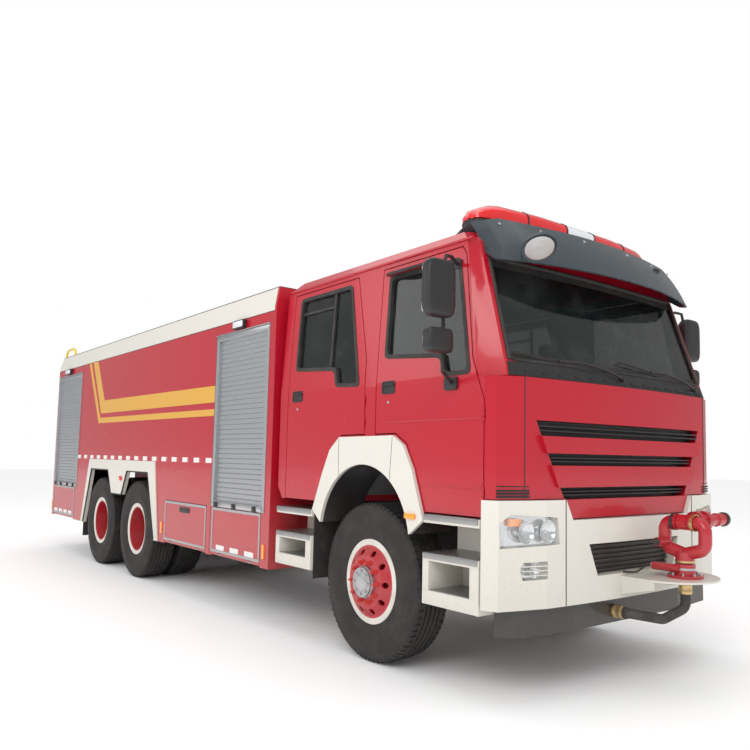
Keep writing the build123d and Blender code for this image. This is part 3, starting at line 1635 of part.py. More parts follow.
for place, x_from, x_to in flap_table:
    for hand, side in (("left", 1), ("right", -1)):
        with BuildPart() as flap:
            with BuildSketch(front_plane(front_axle_x + x_from)):
                Polygon(
                    [
                        (side * body_half_width, flap_bottom_z),
                        (side * body_half_width, flap_top_z),
                        (side * (body_half_width - flap_thickness), flap_top_z),
                        (side * (body_half_width - flap_thickness), flap_bottom_z + 8),
                        (side * (body_half_width - flap_thickness + 8), flap_bottom_z),
                    ],
                    align=None,
                )
            extrude(amount=x_to - x_from)
            # Notches for the fixed knuckles, and the bores on either side of them
            for hinge_x in (x_from + flap_hinge_inset, x_to - flap_hinge_inset):
                with BuildSketch(side_plane(2 * body_half_width)):
                    with Locations((front_axle_x + hinge_x, flap_axis_z)):
                        Rectangle(
                            flap_knuckle_length + 2 * moving_gap,
                            2 * (flap_knuckle_radius + moving_gap),
                        )
                extrude(amount=4 * body_half_width, mode=Mode.SUBTRACT)
                with BuildSketch(front_plane(front_axle_x + hinge_x - flap_pin_length / 2 - seat_gap)):
                    with Locations((side * flap_axis_y, flap_axis_z)):
                        Circle(flap_pin_radius + running_gap)
                extrude(amount=flap_pin_length + 2 * seat_gap, mode=Mode.SUBTRACT)
        write_step(flap, f"{place}_{hand}_flap")

# Rear ladder: two rails that hook over the roof's edge, with rungs between them

ladder_tube = 17.0
ladder_y = [-1150.0, -750.0]
ladder_x = body_rear_x - 45.0
hook_x = body_rear_x + 450.0
hook_top_z = 3070.0
rung_count = 7
rung_pitch = 290.0
rung_first_z = 800.0

with BuildPart() as ladder:
    for y in ladder_y:
        with BuildLine():
            rail_line = FilletPolyline(
                (ladder_x, y, 640.0),
                (ladder_x, y, hook_top_z),
                (hook_x, y, hook_top_z),
                (hook_x, y, deck_z + seat_gap),
                radius=110,
            )
        with BuildSketch(Plane(origin=rail_line @ 0, z_dir=rail_line % 0)):
            Circle(ladder_tube)
        sweep(path=rail_line)
    for step in range(rung_count):
        with BuildSketch(side_plane(ladder_y[1])):
            with Locations((ladder_x, rung_first_z + step * rung_pitch)):
                Circle(12)
        extrude(amount=ladder_y[1] - ladder_y[0])
    # Stand-offs from the rear wall
    for y in ladder_y:
        for z in (900.0, 2600.0):
            with BuildSketch(front_plane(ladder_x)):
                with Locations((y, z)):
                    Circle(12)
            extrude(amount=body_rear_x - seat_gap - ladder_x)
ladder.part.label = "ladder"
export_step(ladder.part, "parts/ladder.step")

# Signal lamps: amber side markers and red lamps at the back

with BuildPart() as signal_lamps:
    for side in (1, -1):
        for x, z in ((-1405.0, 630.0), (-3735.0, 650.0), (-8284.0, 630.0)):
            with BuildSketch(side_plane(side * (body_half_width + 5) + 5)):
                with Locations((front_axle_x + x, z)):
                    Rectangle(32, 120)
            extrude(amount=10 - seat_gap if side < 0 else 10)
        with BuildSketch(front_plane(body_rear_x - 40)):
            with Locations((side * 1215, 1000)):
                Rectangle(50, 260)
        extrude(amount=40 - seat_gap)
signal_lamps.part.label = "signal_lamps"
export_step(signal_lamps.part, "parts/signal_lamps.step")

# Monitor platform: a D-shaped plate on two webs, its back edge following the bumper's face

bumper_face_radius = (880.0**2 + (bumper_front_x - bumper_plan[-1][0]) ** 2) / (2 * (bumper_front_x - bumper_plan[-1][0]))
platform_half = 300.0
platform_left_y = monitor_y + platform_half
platform_right_y = monitor_y - platform_half
platform_side_x = front_end_x - platform_half
web_foot_z = 595.0
web_sheet = 10.0


def bumper_face_x(y):
    """Where the bumper's curved face lies at a given y, with the seat gap added."""
    return bumper_front_x - bumper_face_radius + (bumper_face_radius**2 - y**2) ** 0.5 + seat_gap


with BuildPart() as monitor_platform:
    with BuildSketch(plan_plane(platform_z - platform_plate)):
        with BuildLine():
            ThreePointArc(
                (bumper_face_x(platform_left_y), platform_left_y),
                (bumper_face_x(monitor_y), monitor_y),
                (bumper_face_x(platform_right_y), platform_right_y),
            )
            Line((bumper_face_x(platform_right_y), platform_right_y), (platform_side_x, platform_right_y))
            ThreePointArc(
                (platform_side_x, platform_right_y),
                (front_end_x, monitor_y),
                (platform_side_x, platform_left_y),
            )
            Line((platform_side_x, platform_left_y), (bumper_face_x(platform_left_y), platform_left_y))
        make_face()
    extrude(amount=platform_plate)
    for y in (platform_left_y, platform_right_y + web_sheet):
        back_x = max(bumper_face_x(y), bumper_face_x(y - web_sheet))
        with BuildSketch(side_plane(y)):
            Polygon(
                [
                    (back_x, web_foot_z),
                    (platform_side_x + 60, platform_z - 60),
                    (platform_side_x + 60, platform_z - platform_plate),
                    (back_x, platform_z - platform_plate),
                ],
                align=None,
            )
        extrude(amount=web_sheet)
monitor_platform.part.label = "monitor_platform"
export_step(monitor_platform.part, "parts/monitor_platform.step")

# Monitor base: bolted flange, neck and the drive motor beside it

flange_radius = 112.0
flange_height = 18.0
neck_radius = 66.0
neck_top_z = platform_z + 88.0
turn_motor_radius = 26.0
turn_shaft_radius = 40.0
turn_shaft_length = 40.0
with BuildPart() as monitor_base:
    with BuildSketch(plan_plane(platform_z + seat_gap)):
        with Locations((monitor_x, monitor_y)):
            Circle(flange_radius)
    extrude(amount=flange_height)
    with BuildSketch(plan_plane(platform_z + seat_gap)):
        with Locations((monitor_x, monitor_y)):
            Circle(neck_radius)
    extrude(amount=neck_top_z - platform_z - seat_gap)
    with BuildSketch(front_plane(monitor_x - 200)):
        with Locations((monitor_y - 55, platform_z + 58)):
            Circle(turn_motor_radius)
    extrude(amount=200)
    with BuildSketch(plan_plane(neck_top_z - turn_shaft_length - seat_gap)):
        with Locations((monitor_x, monitor_y)):
            Circle(turn_shaft_radius + running_gap)
    extrude(amount=turn_shaft_length + 1, mode=Mode.SUBTRACT)
monitor_base.part.label = "monitor_base"
export_step(monitor_base.part, "parts/monitor_base.step")

# Turret: two bent arms that part above the neck and meet again at the cross bearing, and the tilt motor

arm_radius = 42.0
arm_reach = 143.0
arm_foot_z = neck_top_z + 60.0
barrel_z = platform_z + 353.0
hub_half = 36.0
pin_radius = 20.0
pin_half_length = 70.0
with BuildPart() as monitor_turret:
    with BuildSketch(plan_plane(neck_top_z + moving_gap)):
        with Locations((monitor_x, monitor_y)):
            Circle(neck_radius - 6)
    extrude(amount=70)
    with BuildSketch(plan_plane(neck_top_z - turn_shaft_length)):
        with Locations((monitor_x, monitor_y)):
            Circle(turn_shaft_radius)
    extrude(amount=turn_shaft_length + moving_gap)
    for side in (1, -1):
        with BuildLine():
            arm_line = FilletPolyline(
                (monitor_x, monitor_y, arm_foot_z),
                (monitor_x + side * arm_reach, monitor_y, arm_foot_z + 40),
                (monitor_x + side * arm_reach, monitor_y, barrel_z),
                (monitor_x + side * (hub_half + moving_gap), monitor_y, barrel_z),
                radius=60,
            )
        with BuildSketch(Plane(origin=arm_line @ 0, z_dir=arm_line % 0)):
            Circle(arm_radius)
        sweep(path=arm_line)
        with BuildSketch(front_plane(monitor_x + side * (hub_half + moving_gap + 10) - 10)):
            with Locations((monitor_y, barrel_z)):
                Circle(arm_radius + 10)
        extrude(amount=20)
    with BuildSketch(side_plane(monitor_y - 20)):
        with Locations((monitor_x - arm_reach + 20, barrel_z - 130)):
            Circle(30)
    extrude(amount=110)
    with BuildSketch(front_plane(monitor_x - pin_half_length - seat_gap)):
        with Locations((monitor_y, barrel_z)):
            Circle(pin_radius + running_gap)
    extrude(amount=2 * (pin_half_length + seat_gap), mode=Mode.SUBTRACT)
monitor_turret.part.label = "monitor_turret"
export_step(monitor_turret.part, "parts/monitor_turret.step")

# Barrel: hub in the cross bearing, pipe with two flanges and the nozzle. Section: distance from the hub, radius.

barrel_length = 520.0
nozzle_bore = 25.0
nozzle_bore_length = 80.0
barrel_section = [
    (0.0, 0.0),
    (0.0, 36.0),
    (70.0, 36.0),
    (70.0, 44.0),
    (110.0, 44.0),
    (110.0, 66.0),
    (150.0, 66.0),
    (150.0, 50.0),
    (210.0, 50.0),
    (210.0, 66.0),
    (250.0, 66.0),
    (250.0, 48.0),
    (380.0, 36.0),
    (390.0, 46.0),
    (barrel_length, 40.0),
    (barrel_length, nozzle_bore),
    (barrel_length - nozzle_bore_length, nozzle_bore),
    (barrel_length - nozzle_bore_length, 0.0),
]
with BuildPart() as monitor_barrel:
    with BuildSketch(front_plane(monitor_x)):
        Polygon([(monitor_y + reach, barrel_z + radius) for reach, radius in barrel_section], align=None)
    revolve(axis=lateral_axis(monitor_x, barrel_z))
    with BuildSketch(front_plane(monitor_x - hub_half)):
        with Locations((monitor_y, barrel_z)):
            Circle(arm_radius + 8)
    extrude(amount=2 * hub_half)
    with BuildSketch(front_plane(monitor_x - pin_half_length)):
        with Locations((monitor_y, barrel_z)):
            Circle(pin_radius)
    extrude(amount=2 * pin_half_length)
monitor_barrel.part.label = "monitor_barrel"
export_step(monitor_barrel.part, "parts/monitor_barrel.step")

# Hoses: the supply hose with a coupling at each end, and the thin cable from the drive motor to the bumper

hose_radius = 32.0
coupling_radius = 40.0
hose_end_x = underguard_x + 100 + seat_gap
hose_points = [
    (monitor_x, monitor_y, platform_z - platform_plate - seat_gap),
    (monitor_x, monitor_y, 520.0),
    (monitor_x - 90, monitor_y - 120, 445.0),
    (monitor_x - 230, monitor_y - 270, 475.0),
    (hose_end_x, monitor_y - 270, 475.0),
]
cable_radius = 6.0
cable_points = [
    (monitor_x - 200 - seat_gap, monitor_y - 55, platform_z + 58),
    (monitor_x - 245, monitor_y - 55, platform_z + 58),
    (monitor_x - 262, monitor_y - 150, platform_z + 14),
    (monitor_x - 268, monitor_y - 240, platform_z + 20),
    (bumper_face_x(monitor_y - 275), monitor_y - 275, platform_z + 26),
]
with BuildPart() as monitor_hoses:
    with BuildLine():
        hose_line = FilletPolyline(*hose_points, radius=62)
    with BuildSketch(Plane(origin=hose_line @ 0, z_dir=hose_line % 0)):
        Circle(hose_radius)
    sweep(path=hose_line)
    with BuildSketch(plan_plane(hose_points[0][2] - 90)):
        with Locations((monitor_x, monitor_y)):
            Circle(coupling_radius)
    extrude(amount=90)
    with BuildSketch(front_plane(hose_end_x)):
        with Locations(hose_points[-1][1:]):
            Circle(coupling_radius)
    extrude(amount=90)
    with BuildLine():
        cable_line = FilletPolyline(*cable_points, radius=15)
    with BuildSketch(Plane(origin=cable_line @ 0, z_dir=cable_line % 0)):
        Circle(cable_radius)
    sweep(path=cable_line)
monitor_hoses.part.label = "monitor_hoses"
export_step(monitor_hoses.part, "parts/monitor_hoses.step")
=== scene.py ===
import math

import bmesh
import bpy
from mathutils import Matrix, Vector


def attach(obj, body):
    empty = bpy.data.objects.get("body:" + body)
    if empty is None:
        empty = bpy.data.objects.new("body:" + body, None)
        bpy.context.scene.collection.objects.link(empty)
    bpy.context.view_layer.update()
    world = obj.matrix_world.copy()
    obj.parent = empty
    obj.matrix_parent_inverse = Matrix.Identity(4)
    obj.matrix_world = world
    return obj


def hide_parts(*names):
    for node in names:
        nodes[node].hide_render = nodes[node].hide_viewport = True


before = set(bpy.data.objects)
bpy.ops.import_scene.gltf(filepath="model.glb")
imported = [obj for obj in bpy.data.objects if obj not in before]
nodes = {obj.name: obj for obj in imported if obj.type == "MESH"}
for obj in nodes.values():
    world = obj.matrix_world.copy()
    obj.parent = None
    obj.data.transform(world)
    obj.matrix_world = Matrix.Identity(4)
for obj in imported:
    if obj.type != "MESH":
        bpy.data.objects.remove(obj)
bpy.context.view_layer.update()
frontAxleX = 3.22  # all x values below count from the front axle
print("stage: frame loaded", len(nodes))


# shader sockets as values

class Wire:
    def __init__(self, finish, socket):
        self.finish, self.socket = finish, socket

    def calc(self, operation, *values):
        return self.finish.add("Math", {"operation": operation}, dict(enumerate(values)))

    def __add__(self, other): return self.calc("ADD", self, other)
    def __radd__(self, other): return self.calc("ADD", other, self)
    def __sub__(self, other): return self.calc("SUBTRACT", self, other)
    def __rsub__(self, other): return self.calc("SUBTRACT", other, self)
    def __mul__(self, other): return self.calc("MULTIPLY", self, other)
    def __rmul__(self, other): return self.calc("MULTIPLY", other, self)
    def __truediv__(self, other): return self.calc("DIVIDE", self, other)
    def __gt__(self, other): return self.calc("GREATER_THAN", self, other)
    def __lt__(self, other): return self.calc("LESS_THAN", self, other)
    def __abs__(self): return self.calc("ABSOLUTE", self)
    def __pow__(self, other): return self.calc("POWER", self, other)


class Finish:
    def __init__(self, name, **fixed):
        self.material = bpy.data.materials.new(name)
        self.material.use_nodes = True
        self.tree = self.material.node_tree
        self.shader = self.tree.nodes["Principled BSDF"]
        for key, value in fixed.items():
            self.shader.inputs[key.replace("_", " ")].default_value = value
        self.spot = self.add("TexCoord", out="Object")
        parts = self.tree.nodes.new("ShaderNodeSeparateXYZ")
        self.tree.links.new(self.spot.socket, parts.inputs[0])
        self.x, self.y, self.z = (Wire(self, parts.outputs[i]) for i in range(3))

    def add(self, kind, settings=None, inputs=None, out=0):
        node = self.tree.nodes.new("ShaderNode" + kind)
        for key, value in (settings or {}).items():
            if key == "stops":
                ramp = node.color_ramp
                while len(ramp.elements) < len(value):
                    ramp.elements.new(0.5)
                for stop, (place, colour) in zip(ramp.elements, value):
                    stop.position, stop.color = place, colour
            else:
                setattr(node, key, value)
        for key, value in (inputs or {}).items():
            if isinstance(value, Wire):
                self.tree.links.new(value.socket, node.inputs[key])
            else:
                node.inputs[key].default_value = value
        return Wire(self, node.outputs[out])

    def noise(self, scale, detail=3.0, rough=0.55, stretch=None):
        spot = self.spot
        if stretch:
            spot = self.add("VectorMath", {"operation": "MULTIPLY"}, {0: self.spot, 1: stretch})
        return self.add(
            "TexNoise", None, {"Vector": spot, "Scale": scale, "Detail": detail, "Roughness": rough}
        )

    def between(self, value, low, high, low2=0.0, high2=1.0):
        return self.add(
            "MapRange", {"clamp": True},
            {"Value": value, "From Min": low, "From Max": high, "To Min": low2, "To Max": high2}
        )

    def blend(self, share, first, second):
        asColour = [v if isinstance(v, Wire) else (*v, 1.0) for v in (first, second)]
        return self.add("Mix", {"data_type": "RGBA"}, {0: share, 6: asColour[0], 7: asColour[1]}, out=2)

    def bump(self, height, strength=0.3, distance=0.001):
        normal = self.add("Bump", None, {"Strength": strength, "Distance": distance, "Height": height})
        return self.link(Normal=normal)

    def link(self, **values):
        for key, value in values.items():
            socket = self.shader.inputs[key.replace("_", " ")]
            if isinstance(value, Wire):
                self.tree.links.new(value.socket, socket)
            else:
                socket.default_value = (*value, 1.0) if isinstance(value, tuple) and len(value) == 3 else value
        return self


# finishes

colours = {
    "red": (0.47, 0.003, 0.018), "cream": (0.72, 0.695, 0.63), "gold": (0.72, 0.38, 0.035),
    "black": (0.013, 0.013, 0.015),
    "slate": (0.028, 0.040, 0.050), "dust": (0.30, 0.26, 0.21), "silver": (0.62, 0.63, 0.65),
    "rubber": (0.016, 0.016, 0.017),
    "amber": (0.90, 0.25, 0.01), "lensRed": (0.60, 0.008, 0.012), "yellow": (0.82, 0.55, 0.02),
    "lining": (0.20, 0.20, 0.20),
}


def paintFinish(name, colour, roughness=0.22, dust=0.35, mask=None):
    f = Finish(name, Coat_Weight=0.35, Coat_Roughness=0.06)
    blotch = f.noise(2.2, 5.0)
    grime = f.between(f.z + blotch * 0.5, 0.75, 1.55, dust, 0.02)  # road dust fades out upwards
    specks = f.between(f.noise(60.0, 2.0), 0.58, 0.75) * grime
    base = f.blend(blotch * 0.12, colour, tuple(c * 0.72 for c in colour))
    if mask:
        share, other = mask(f)
        base = f.blend(share, base, other)
    base = f.blend(grime * 0.45 + specks * 0.4, base, colours["dust"])
    f.link(Base_Color=base, Roughness=f.between(grime + f.noise(9.0, 2.0) * 0.12, 0.0, 0.8, roughness, 0.62))
    f.bump(f.noise(420.0, 1.0) * 0.6 + f.noise(35.0, 2.0), 0.05, 0.0008)  # orange peel
    return f.material


def plasticFinish(name, colour, roughness=0.45, grain=900.0, strength=0.18, mask=None):
    f = Finish(name)
    base = f.blend(f.noise(6.0, 4.0) * 0.5, colour, tuple(min(1.0, c * 1.5 + 0.006) for c in colour))
    base = f.blend(f.between(f.z + f.noise(3.0) * 0.4, 0.6, 1.5, 0.22, 0.03), base, colours["dust"])
    if mask:
        share, other = mask(f)
        base = f.blend(share, base, other)
    f.link(
        Base_Color=base, Roughness=f.between(f.noise(12.0, 3.0), 0.2, 0.8, roughness - 0.07, roughness + 0.1)
    )
    f.bump(f.noise(grain, 2.0), strength, 0.0006)
    return f.material


def metalFinish(name, colour, roughness=0.3, stretch=(1.0, 1.0, 30.0), scale=40.0, strength=0.12, dust=0.2):
    f = Finish(name, Metallic=1.0)
    streak = f.noise(scale, 3.0, 0.6, stretch)
    grime = f.between(f.z + f.noise(2.5, 4.0) * 0.5, 0.7, 1.6, dust, 0.03)
    base = f.blend(streak * 0.35, colour, tuple(c * 0.62 for c in colour))
    f.link(Base_Color=f.blend(grime, base, colours["dust"]), Metallic=1.0 - grime * 0.8)
    f.link(Roughness=f.between(streak + grime, 0.2, 1.1, roughness - 0.06, roughness + 0.25))
    f.bump(streak, strength, 0.0005)
    return f.material


def rubberFinish(name, colour, roughness=0.72, dust=0.4):
    f = Finish(name)
    grime = f.between(f.noise(7.0, 5.0, 0.65), 0.42, 0.75, 0.04, dust)
    f.link(
        Base_Color=f.blend(grime, colour, colours["dust"]),
        Roughness=f.between(grime, 0.0, 0.5, roughness, 0.95)
    )
    f.bump(f.noise(700.0, 2.0) * 0.5 + f.noise(60.0, 3.0), 0.22, 0.0008)
    return f.material


def glassFinish(name, colour, alpha, roughness=0.03):
    f = Finish(name, Alpha=alpha, Coat_Weight=0.4, Specular_IOR_Level=0.6)
    smear = f.between(f.noise(5.0, 4.0), 0.5, 0.85, 0.0, 0.10)
    f.link(Base_Color=f.blend(smear, colour, (0.35, 0.36, 0.36)), Roughness=smear * 0.5 + roughness)
    return f.material


def lensFinish(name, colour, glow=0.0, ribs=160.0, alpha=1.0):
    f = Finish(name, Coat_Weight=0.7, Emission_Strength=glow, Alpha=alpha)
    rib = f.add(
        "TexWave", {"bands_direction": "Y", "wave_profile": "SIN"}, {"Vector": f.spot, "Scale": ribs / 6.28}
    )
    base = f.blend(rib * 0.4, colour, tuple(min(1.0, c * 1.6 + 0.02) for c in colour))
    f.link(Base_Color=base, Emission_Color=base, Roughness=f.between(rib, 0.0, 1.0, 0.08, 0.2))
    f.bump(rib, 0.35, 0.0012)
    return f.material


def insideCab(f):
    lean = f.between(f.z, 1.98, 2.86, 1.17, 1.115)
    front = f.between(f.z, 1.96, 2.86, frontAxleX + 1.15, frontAxleX + 0.985)  # follows the raked corner
    share = (abs(f.y) < lean) * (f.x > frontAxleX - 1.22) * (front > f.x) * (f.z > 1.15) * (f.z < 2.88)
    return share, colours["lining"]


def deckMask(f):
    front = (f.x > frontAxleX - 1.345) * (f.z > 2.70)
    tray = (f.z < 2.80) * (abs(f.y) < 1.215)
    return front.calc("MAXIMUM", front, tray), f.blend(front, (0.36, 0.37, 0.37), colours["red"])


def linerMask(f):
    return abs(f.y) < 1.2135, colours["black"]


def rimFinish(name, centreX, hubRadius, twin):
    f = Finish(name, Coat_Weight=0.25)
    dx, dz = f.x - (frontAxleX + centreX), f.z - 0.5625
    radius = (dx * dx + dz * dz) ** 0.5
    ring = radius > 0.258
    hub = (radius < hubRadius) * (abs(f.y) > (1.04 if twin else 1.17))
    base = f.blend(ring, colours["red"], colours["cream"])
    base = f.blend(hub, base, (0.50, 0.51, 0.53))
    grime = f.between(f.noise(5.0, 5.0), 0.35, 0.8, 0.06, 0.42)
    f.link(Base_Color=f.blend(grime, base, (0.20, 0.165, 0.13)), Metallic=hub * 0.8)
    f.link(Roughness=f.between(grime, 0.0, 0.4, 0.26, 0.6))
    f.bump(f.noise(180.0, 2.0) + f.noise(14.0), 0.10, 0.001)
    return f.material


def treadFinish(name):
    f = Finish(name, Metallic=1.0)
    u, v = f.x * 1.0 + f.y, f.x - f.y
    first = f.add(
        "Math", {"operation": "SINE"}, {0: u * 150.0}
    ) * f.add("Math", {"operation": "SINE"}, {0: v * 150.0})
    drops = f.between(first, 0.35, 0.7)
    wear = f.noise(8.0, 4.0)
    f.link(Base_Color=f.blend(drops * 0.5, (0.40, 0.40, 0.40), (0.66, 0.67, 0.68)))
    f.link(Roughness=f.between(wear - drops * 0.2, 0.2, 0.8, 0.28, 0.55))
    f.bump(drops, 0.8, 0.0025)
    return f.material


def fabricFinish(name, colour):
    f = Finish(name, Sheen_Weight=0.3)
    warp = f.add("TexWave", {"bands_direction": "Y"}, {"Vector": f.spot, "Scale": 90.0})
    weft = f.add("TexWave", {"bands_direction": "Z"}, {"Vector": f.spot, "Scale": 90.0})
    weave = warp * weft
    f.link(
        Base_Color=f.blend(weave * 0.6, colour, tuple(c * 1.8 for c in colour)),
        Roughness=f.between(weave, 0.0, 1.0, 0.75, 0.95)
    )
    f.bump(weave + f.noise(40.0) * 0.5, 0.4, 0.001)
    return f.material


red = paintFinish("redPaint", colours["red"])
finishes = {
    "red": red,
    "cabRed": paintFinish("cabRedPaint", colours["red"], mask=insideCab),
    "cream": paintFinish("creamPaint", colours["cream"], 0.28, 0.5),
    "fender": paintFinish("fenderPaint", colours["cream"], 0.28, 0.5, mask=linerMask),
    "deck": paintFinish("deckPaint", colours["cream"], 0.3, 0.3, mask=deckMask),
    "gold": paintFinish("goldFilm", colours["gold"], 0.32, 0.1),
    "white": paintFinish("whiteFilm", (0.82, 0.82, 0.80), 0.35, 0.3),
    "redFilm": paintFinish("redFilm", (0.60, 0.02, 0.02), 0.35, 0.3),
    "frameBlack": paintFinish("framePaint", (0.012, 0.012, 0.014), 0.45, 0.22),
    "engine": plasticFinish("castIron", (0.10, 0.10, 0.11), 0.6, 300.0, 0.4),
    "black": plasticFinish("blackPlastic", colours["black"], 0.42),
    "slate": plasticFinish("slatePlastic", colours["slate"], 0.24, 500.0, 0.05),
    "steel": metalFinish("brushedSteel", colours["silver"], 0.28),
    "aluminium": metalFinish("rolledAluminium", (0.60, 0.61, 0.625), 0.36, (30.0, 1.0, 1.0)),
    "shutter": metalFinish("shutterAluminium", (0.56, 0.575, 0.60), 0.40, (1.0, 1.0, 26.0), 26.0, 0.10, 0.12),
    "chrome": metalFinish("mirrorChrome", (0.85, 0.86, 0.87), 0.10, (1.0, 1.0, 1.0), 12.0, 0.02, 0.05),
    "brass": metalFinish("castBrass", (0.78, 0.56, 0.26), 0.30, (1.0, 1.0, 1.0), 60.0, 0.2),
    "tread": treadFinish("treadPlate"),
    "rubber": rubberFinish("sealRubber", colours["rubber"], 0.6, 0.15),
    "tyre": rubberFinish("tyreRubber", (0.010, 0.010, 0.011), 0.72, 0.12),
    "hose": rubberFinish("hoseRubber", (0.018, 0.018, 0.019), 0.5, 0.25),
    "glass": glassFinish("tintedGlass", (0.010, 0.014, 0.014), 0.62),
    "clear": glassFinish("clearGlass", (0.80, 0.83, 0.85), 0.14),
    "amber": lensFinish("amberLens", colours["amber"], 0.15),
    "lampRed": lensFinish("redLens", colours["lensRed"], 0.10),
    "lampClear": lensFinish("clearLens", (0.72, 0.74, 0.76), 0.05),
    "yellow": paintFinish("yellowPaint", colours["yellow"], 0.3, 0.1),
    "seat": fabricFinish("seatFabric", (0.055, 0.058, 0.065)),
    "rimFront": rimFinish("frontRimPaint", 0.0, 0.112, False),
    "rimMid": rimFinish("midRimPaint", -4.6, 0.135, True),
    "rimRear": rimFinish("rearRimPaint", -5.95, 0.135, True),
}


def beaconMask(f):
    share = abs(f.y) < 0.160
    return share, (0.72, 0.74, 0.76)


def beaconFinish():
    f = Finish("beaconLens", Coat_Weight=0.8, Emission_Strength=0.10)
    rib = f.add("TexWave", {"bands_direction": "Y"}, {"Vector": f.spot, "Scale": 18.0})
    share, clear = beaconMask(f)
    base = f.blend(rib * 0.5, colours["lensRed"], (0.85, 0.03, 0.03))
    base = f.blend(share, base, clear)
    f.link(Base_Color=base, Emission_Color=base, Roughness=f.between(rib, 0.0, 1.0, 0.06, 0.16))
    f.bump(rib, 0.3, 0.002)
    return f.material


finishes["beacon"] = beaconFinish()
print("stage: finishes", len(finishes))


def dress(finish, *names):
    for name in names:
        nodes[name].data.materials.clear()
        nodes[name].data.materials.append(finishes[finish])


wheelNames = ("front", "mid", "rear")
dress("red", "body_shell", "front_panel", "monitor_base", "monitor_turret", "monitor_barrel")
dress("cabRed", "cab_shell")
dress("cabRed", *(f"{place}_{hand}_door" for place in ("front", "rear") for hand in ("left", "right")))
dress("red", *(f"{place}_{hand}_flap" for place in wheelNames for hand in ("left", "right")))
dress("fender", "cab_fenders")
dress("cream", "cab_steps", "front_bumper", "monitor_platform", "rear_arches")
dress("deck", "roof_deck")
dress(
    "frameBlack", "chassis_frame", "front_axle", "rear_axles", "tie_rod", "front_left_knuckle",
    "front_right_knuckle"
)
dress("engine", "engine_block")
dress("black", "grille", "wipers", "dashboard")
dress("slate", "sun_visor")
dress("beacon", "light_bar")
dress(
    "glass", "windscreen",
    *(f"{place}_{hand}_glass" for place in ("front", "rear") for hand in ("left", "right"))
)
dress("shutter", "roller_shutters")
dress("aluminium", "side_lockers")
dress("yellow", "ladder")
dress("amber", "signal_lamps")
dress("hose", "monitor_hoses")
for place, finish in (("front", "rimFront"), ("mid", "rimMid"), ("rear", "rimRear")):
    dress(finish, f"{place}_left_rim", f"{place}_right_rim")
print("stage: nodes dressed")


# mesh helpers, all in the truck's frame

def closePiece(name, shape, body, finish, angle=32.0, place=None):
    bmesh.ops.recalc_face_normals(shape, faces=shape.faces)
    for face in shape.faces:
        face.smooth = True
    for edge in shape.edges:
        if len(edge.link_faces) == 2 and edge.calc_face_angle(0.0) > math.radians(angle):
            edge.smooth = False
    mesh = bpy.data.meshes.new(name)
    shape.to_mesh(mesh)
    shape.free()
    piece = bpy.data.objects.new(name, mesh)
    bpy.context.scene.collection.objects.link(piece)
    mesh.materials.append(finishes[finish])
    if place:
        piece.location = place
    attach(piece, body)
    return piece


def slab(shape, points, push, bevel=0.0, segments=2):
    verts = [shape.verts.new(p) for p in points]
    face = shape.faces.new(verts)
    made = bmesh.ops.extrude_face_region(shape, geom=[face])["geom"]
    moved = [g for g in made if isinstance(g, bmesh.types.BMVert)]
    bmesh.ops.translate(shape, verts=moved, vec=push)
    if bevel:
        every = set(verts + moved)
        edges = [e for e in shape.edges if e.verts[0] in every and e.verts[1] in every]
        bmesh.ops.bevel(shape, geom=edges, offset=bevel, segments=segments, affect="EDGES", profile=0.5)


def level(x1, x2, y1, y2, z):
    x1, x2 = frontAxleX + x1, frontAxleX + x2
    return [(x1, y1, z), (x2, y1, z), (x2, y2, z), (x1, y2, z)]


def rod(shape, start, end, radius, radiusEnd=None, sides=20):
    start, end = Vector(start), Vector(end)
    axis = end - start
    turn = axis.to_track_quat("Z", "Y").to_matrix().to_4x4()
    place = Matrix.Translation((start + end) / 2) @ turn
    bmesh.ops.create_cone(
        shape, cap_ends=True, segments=sides, radius1=radius,
        radius2=radius if radiusEnd is None else radiusEnd, depth=axis.length, matrix=place
    )


def lathe(shape, profile, centre, axis, sides=64, closed=False):
    axis = Vector(axis).normalized()
    side = axis.orthogonal().normalized()
    other = axis.cross(side)
    rings = []
    for step in range(sides):
        angle = 2 * math.pi * step / sides
        out = side * math.cos(angle) + other * math.sin(angle)
        rings.append(
            [shape.verts.new(Vector(centre) + axis * along + out * radius) for along, radius in profile]
        )
    count = len(profile)
    for step in range(sides):
        first, second = rings[step], rings[(step + 1) % sides]
        for i in range(count if closed else count - 1):
            j = (i + 1) % count
            shape.faces.new((first[i], first[j], second[j], second[i]))


def tube(shape, points, radius, sides=12, closed=False, flat=1.0):
    points = [Vector(p) for p in points]
    count = len(points)
    rings = []
    up = None
    for i, point in enumerate(points):
        before = points[i - 1] if i or closed else point
        after = points[(i + 1) % count] if i < count - 1 or closed else point
        along = (after - before).normalized()
        if up is None:
            up = along.orthogonal().normalized()
        up = (up - along * up.dot(along)).normalized()
        other = along.cross(up)
        ring = []
        for s in range(sides):
            a = 2 * math.pi * s / sides
            ring.append(shape.verts.new(point + up * math.cos(a) * radius + other * math.sin(a) * radius * flat))
        rings.append(ring)
    for i in range(count if closed else count - 1):
        first, second = rings[i], rings[(i + 1) % count]
        for s in range(sides):
            t = (s + 1) % sides
            shape.faces.new((first[s], first[t], second[t], second[s]))
    if not closed:
        shape.faces.new(rings[0])
        shape.faces.new(rings[-1])


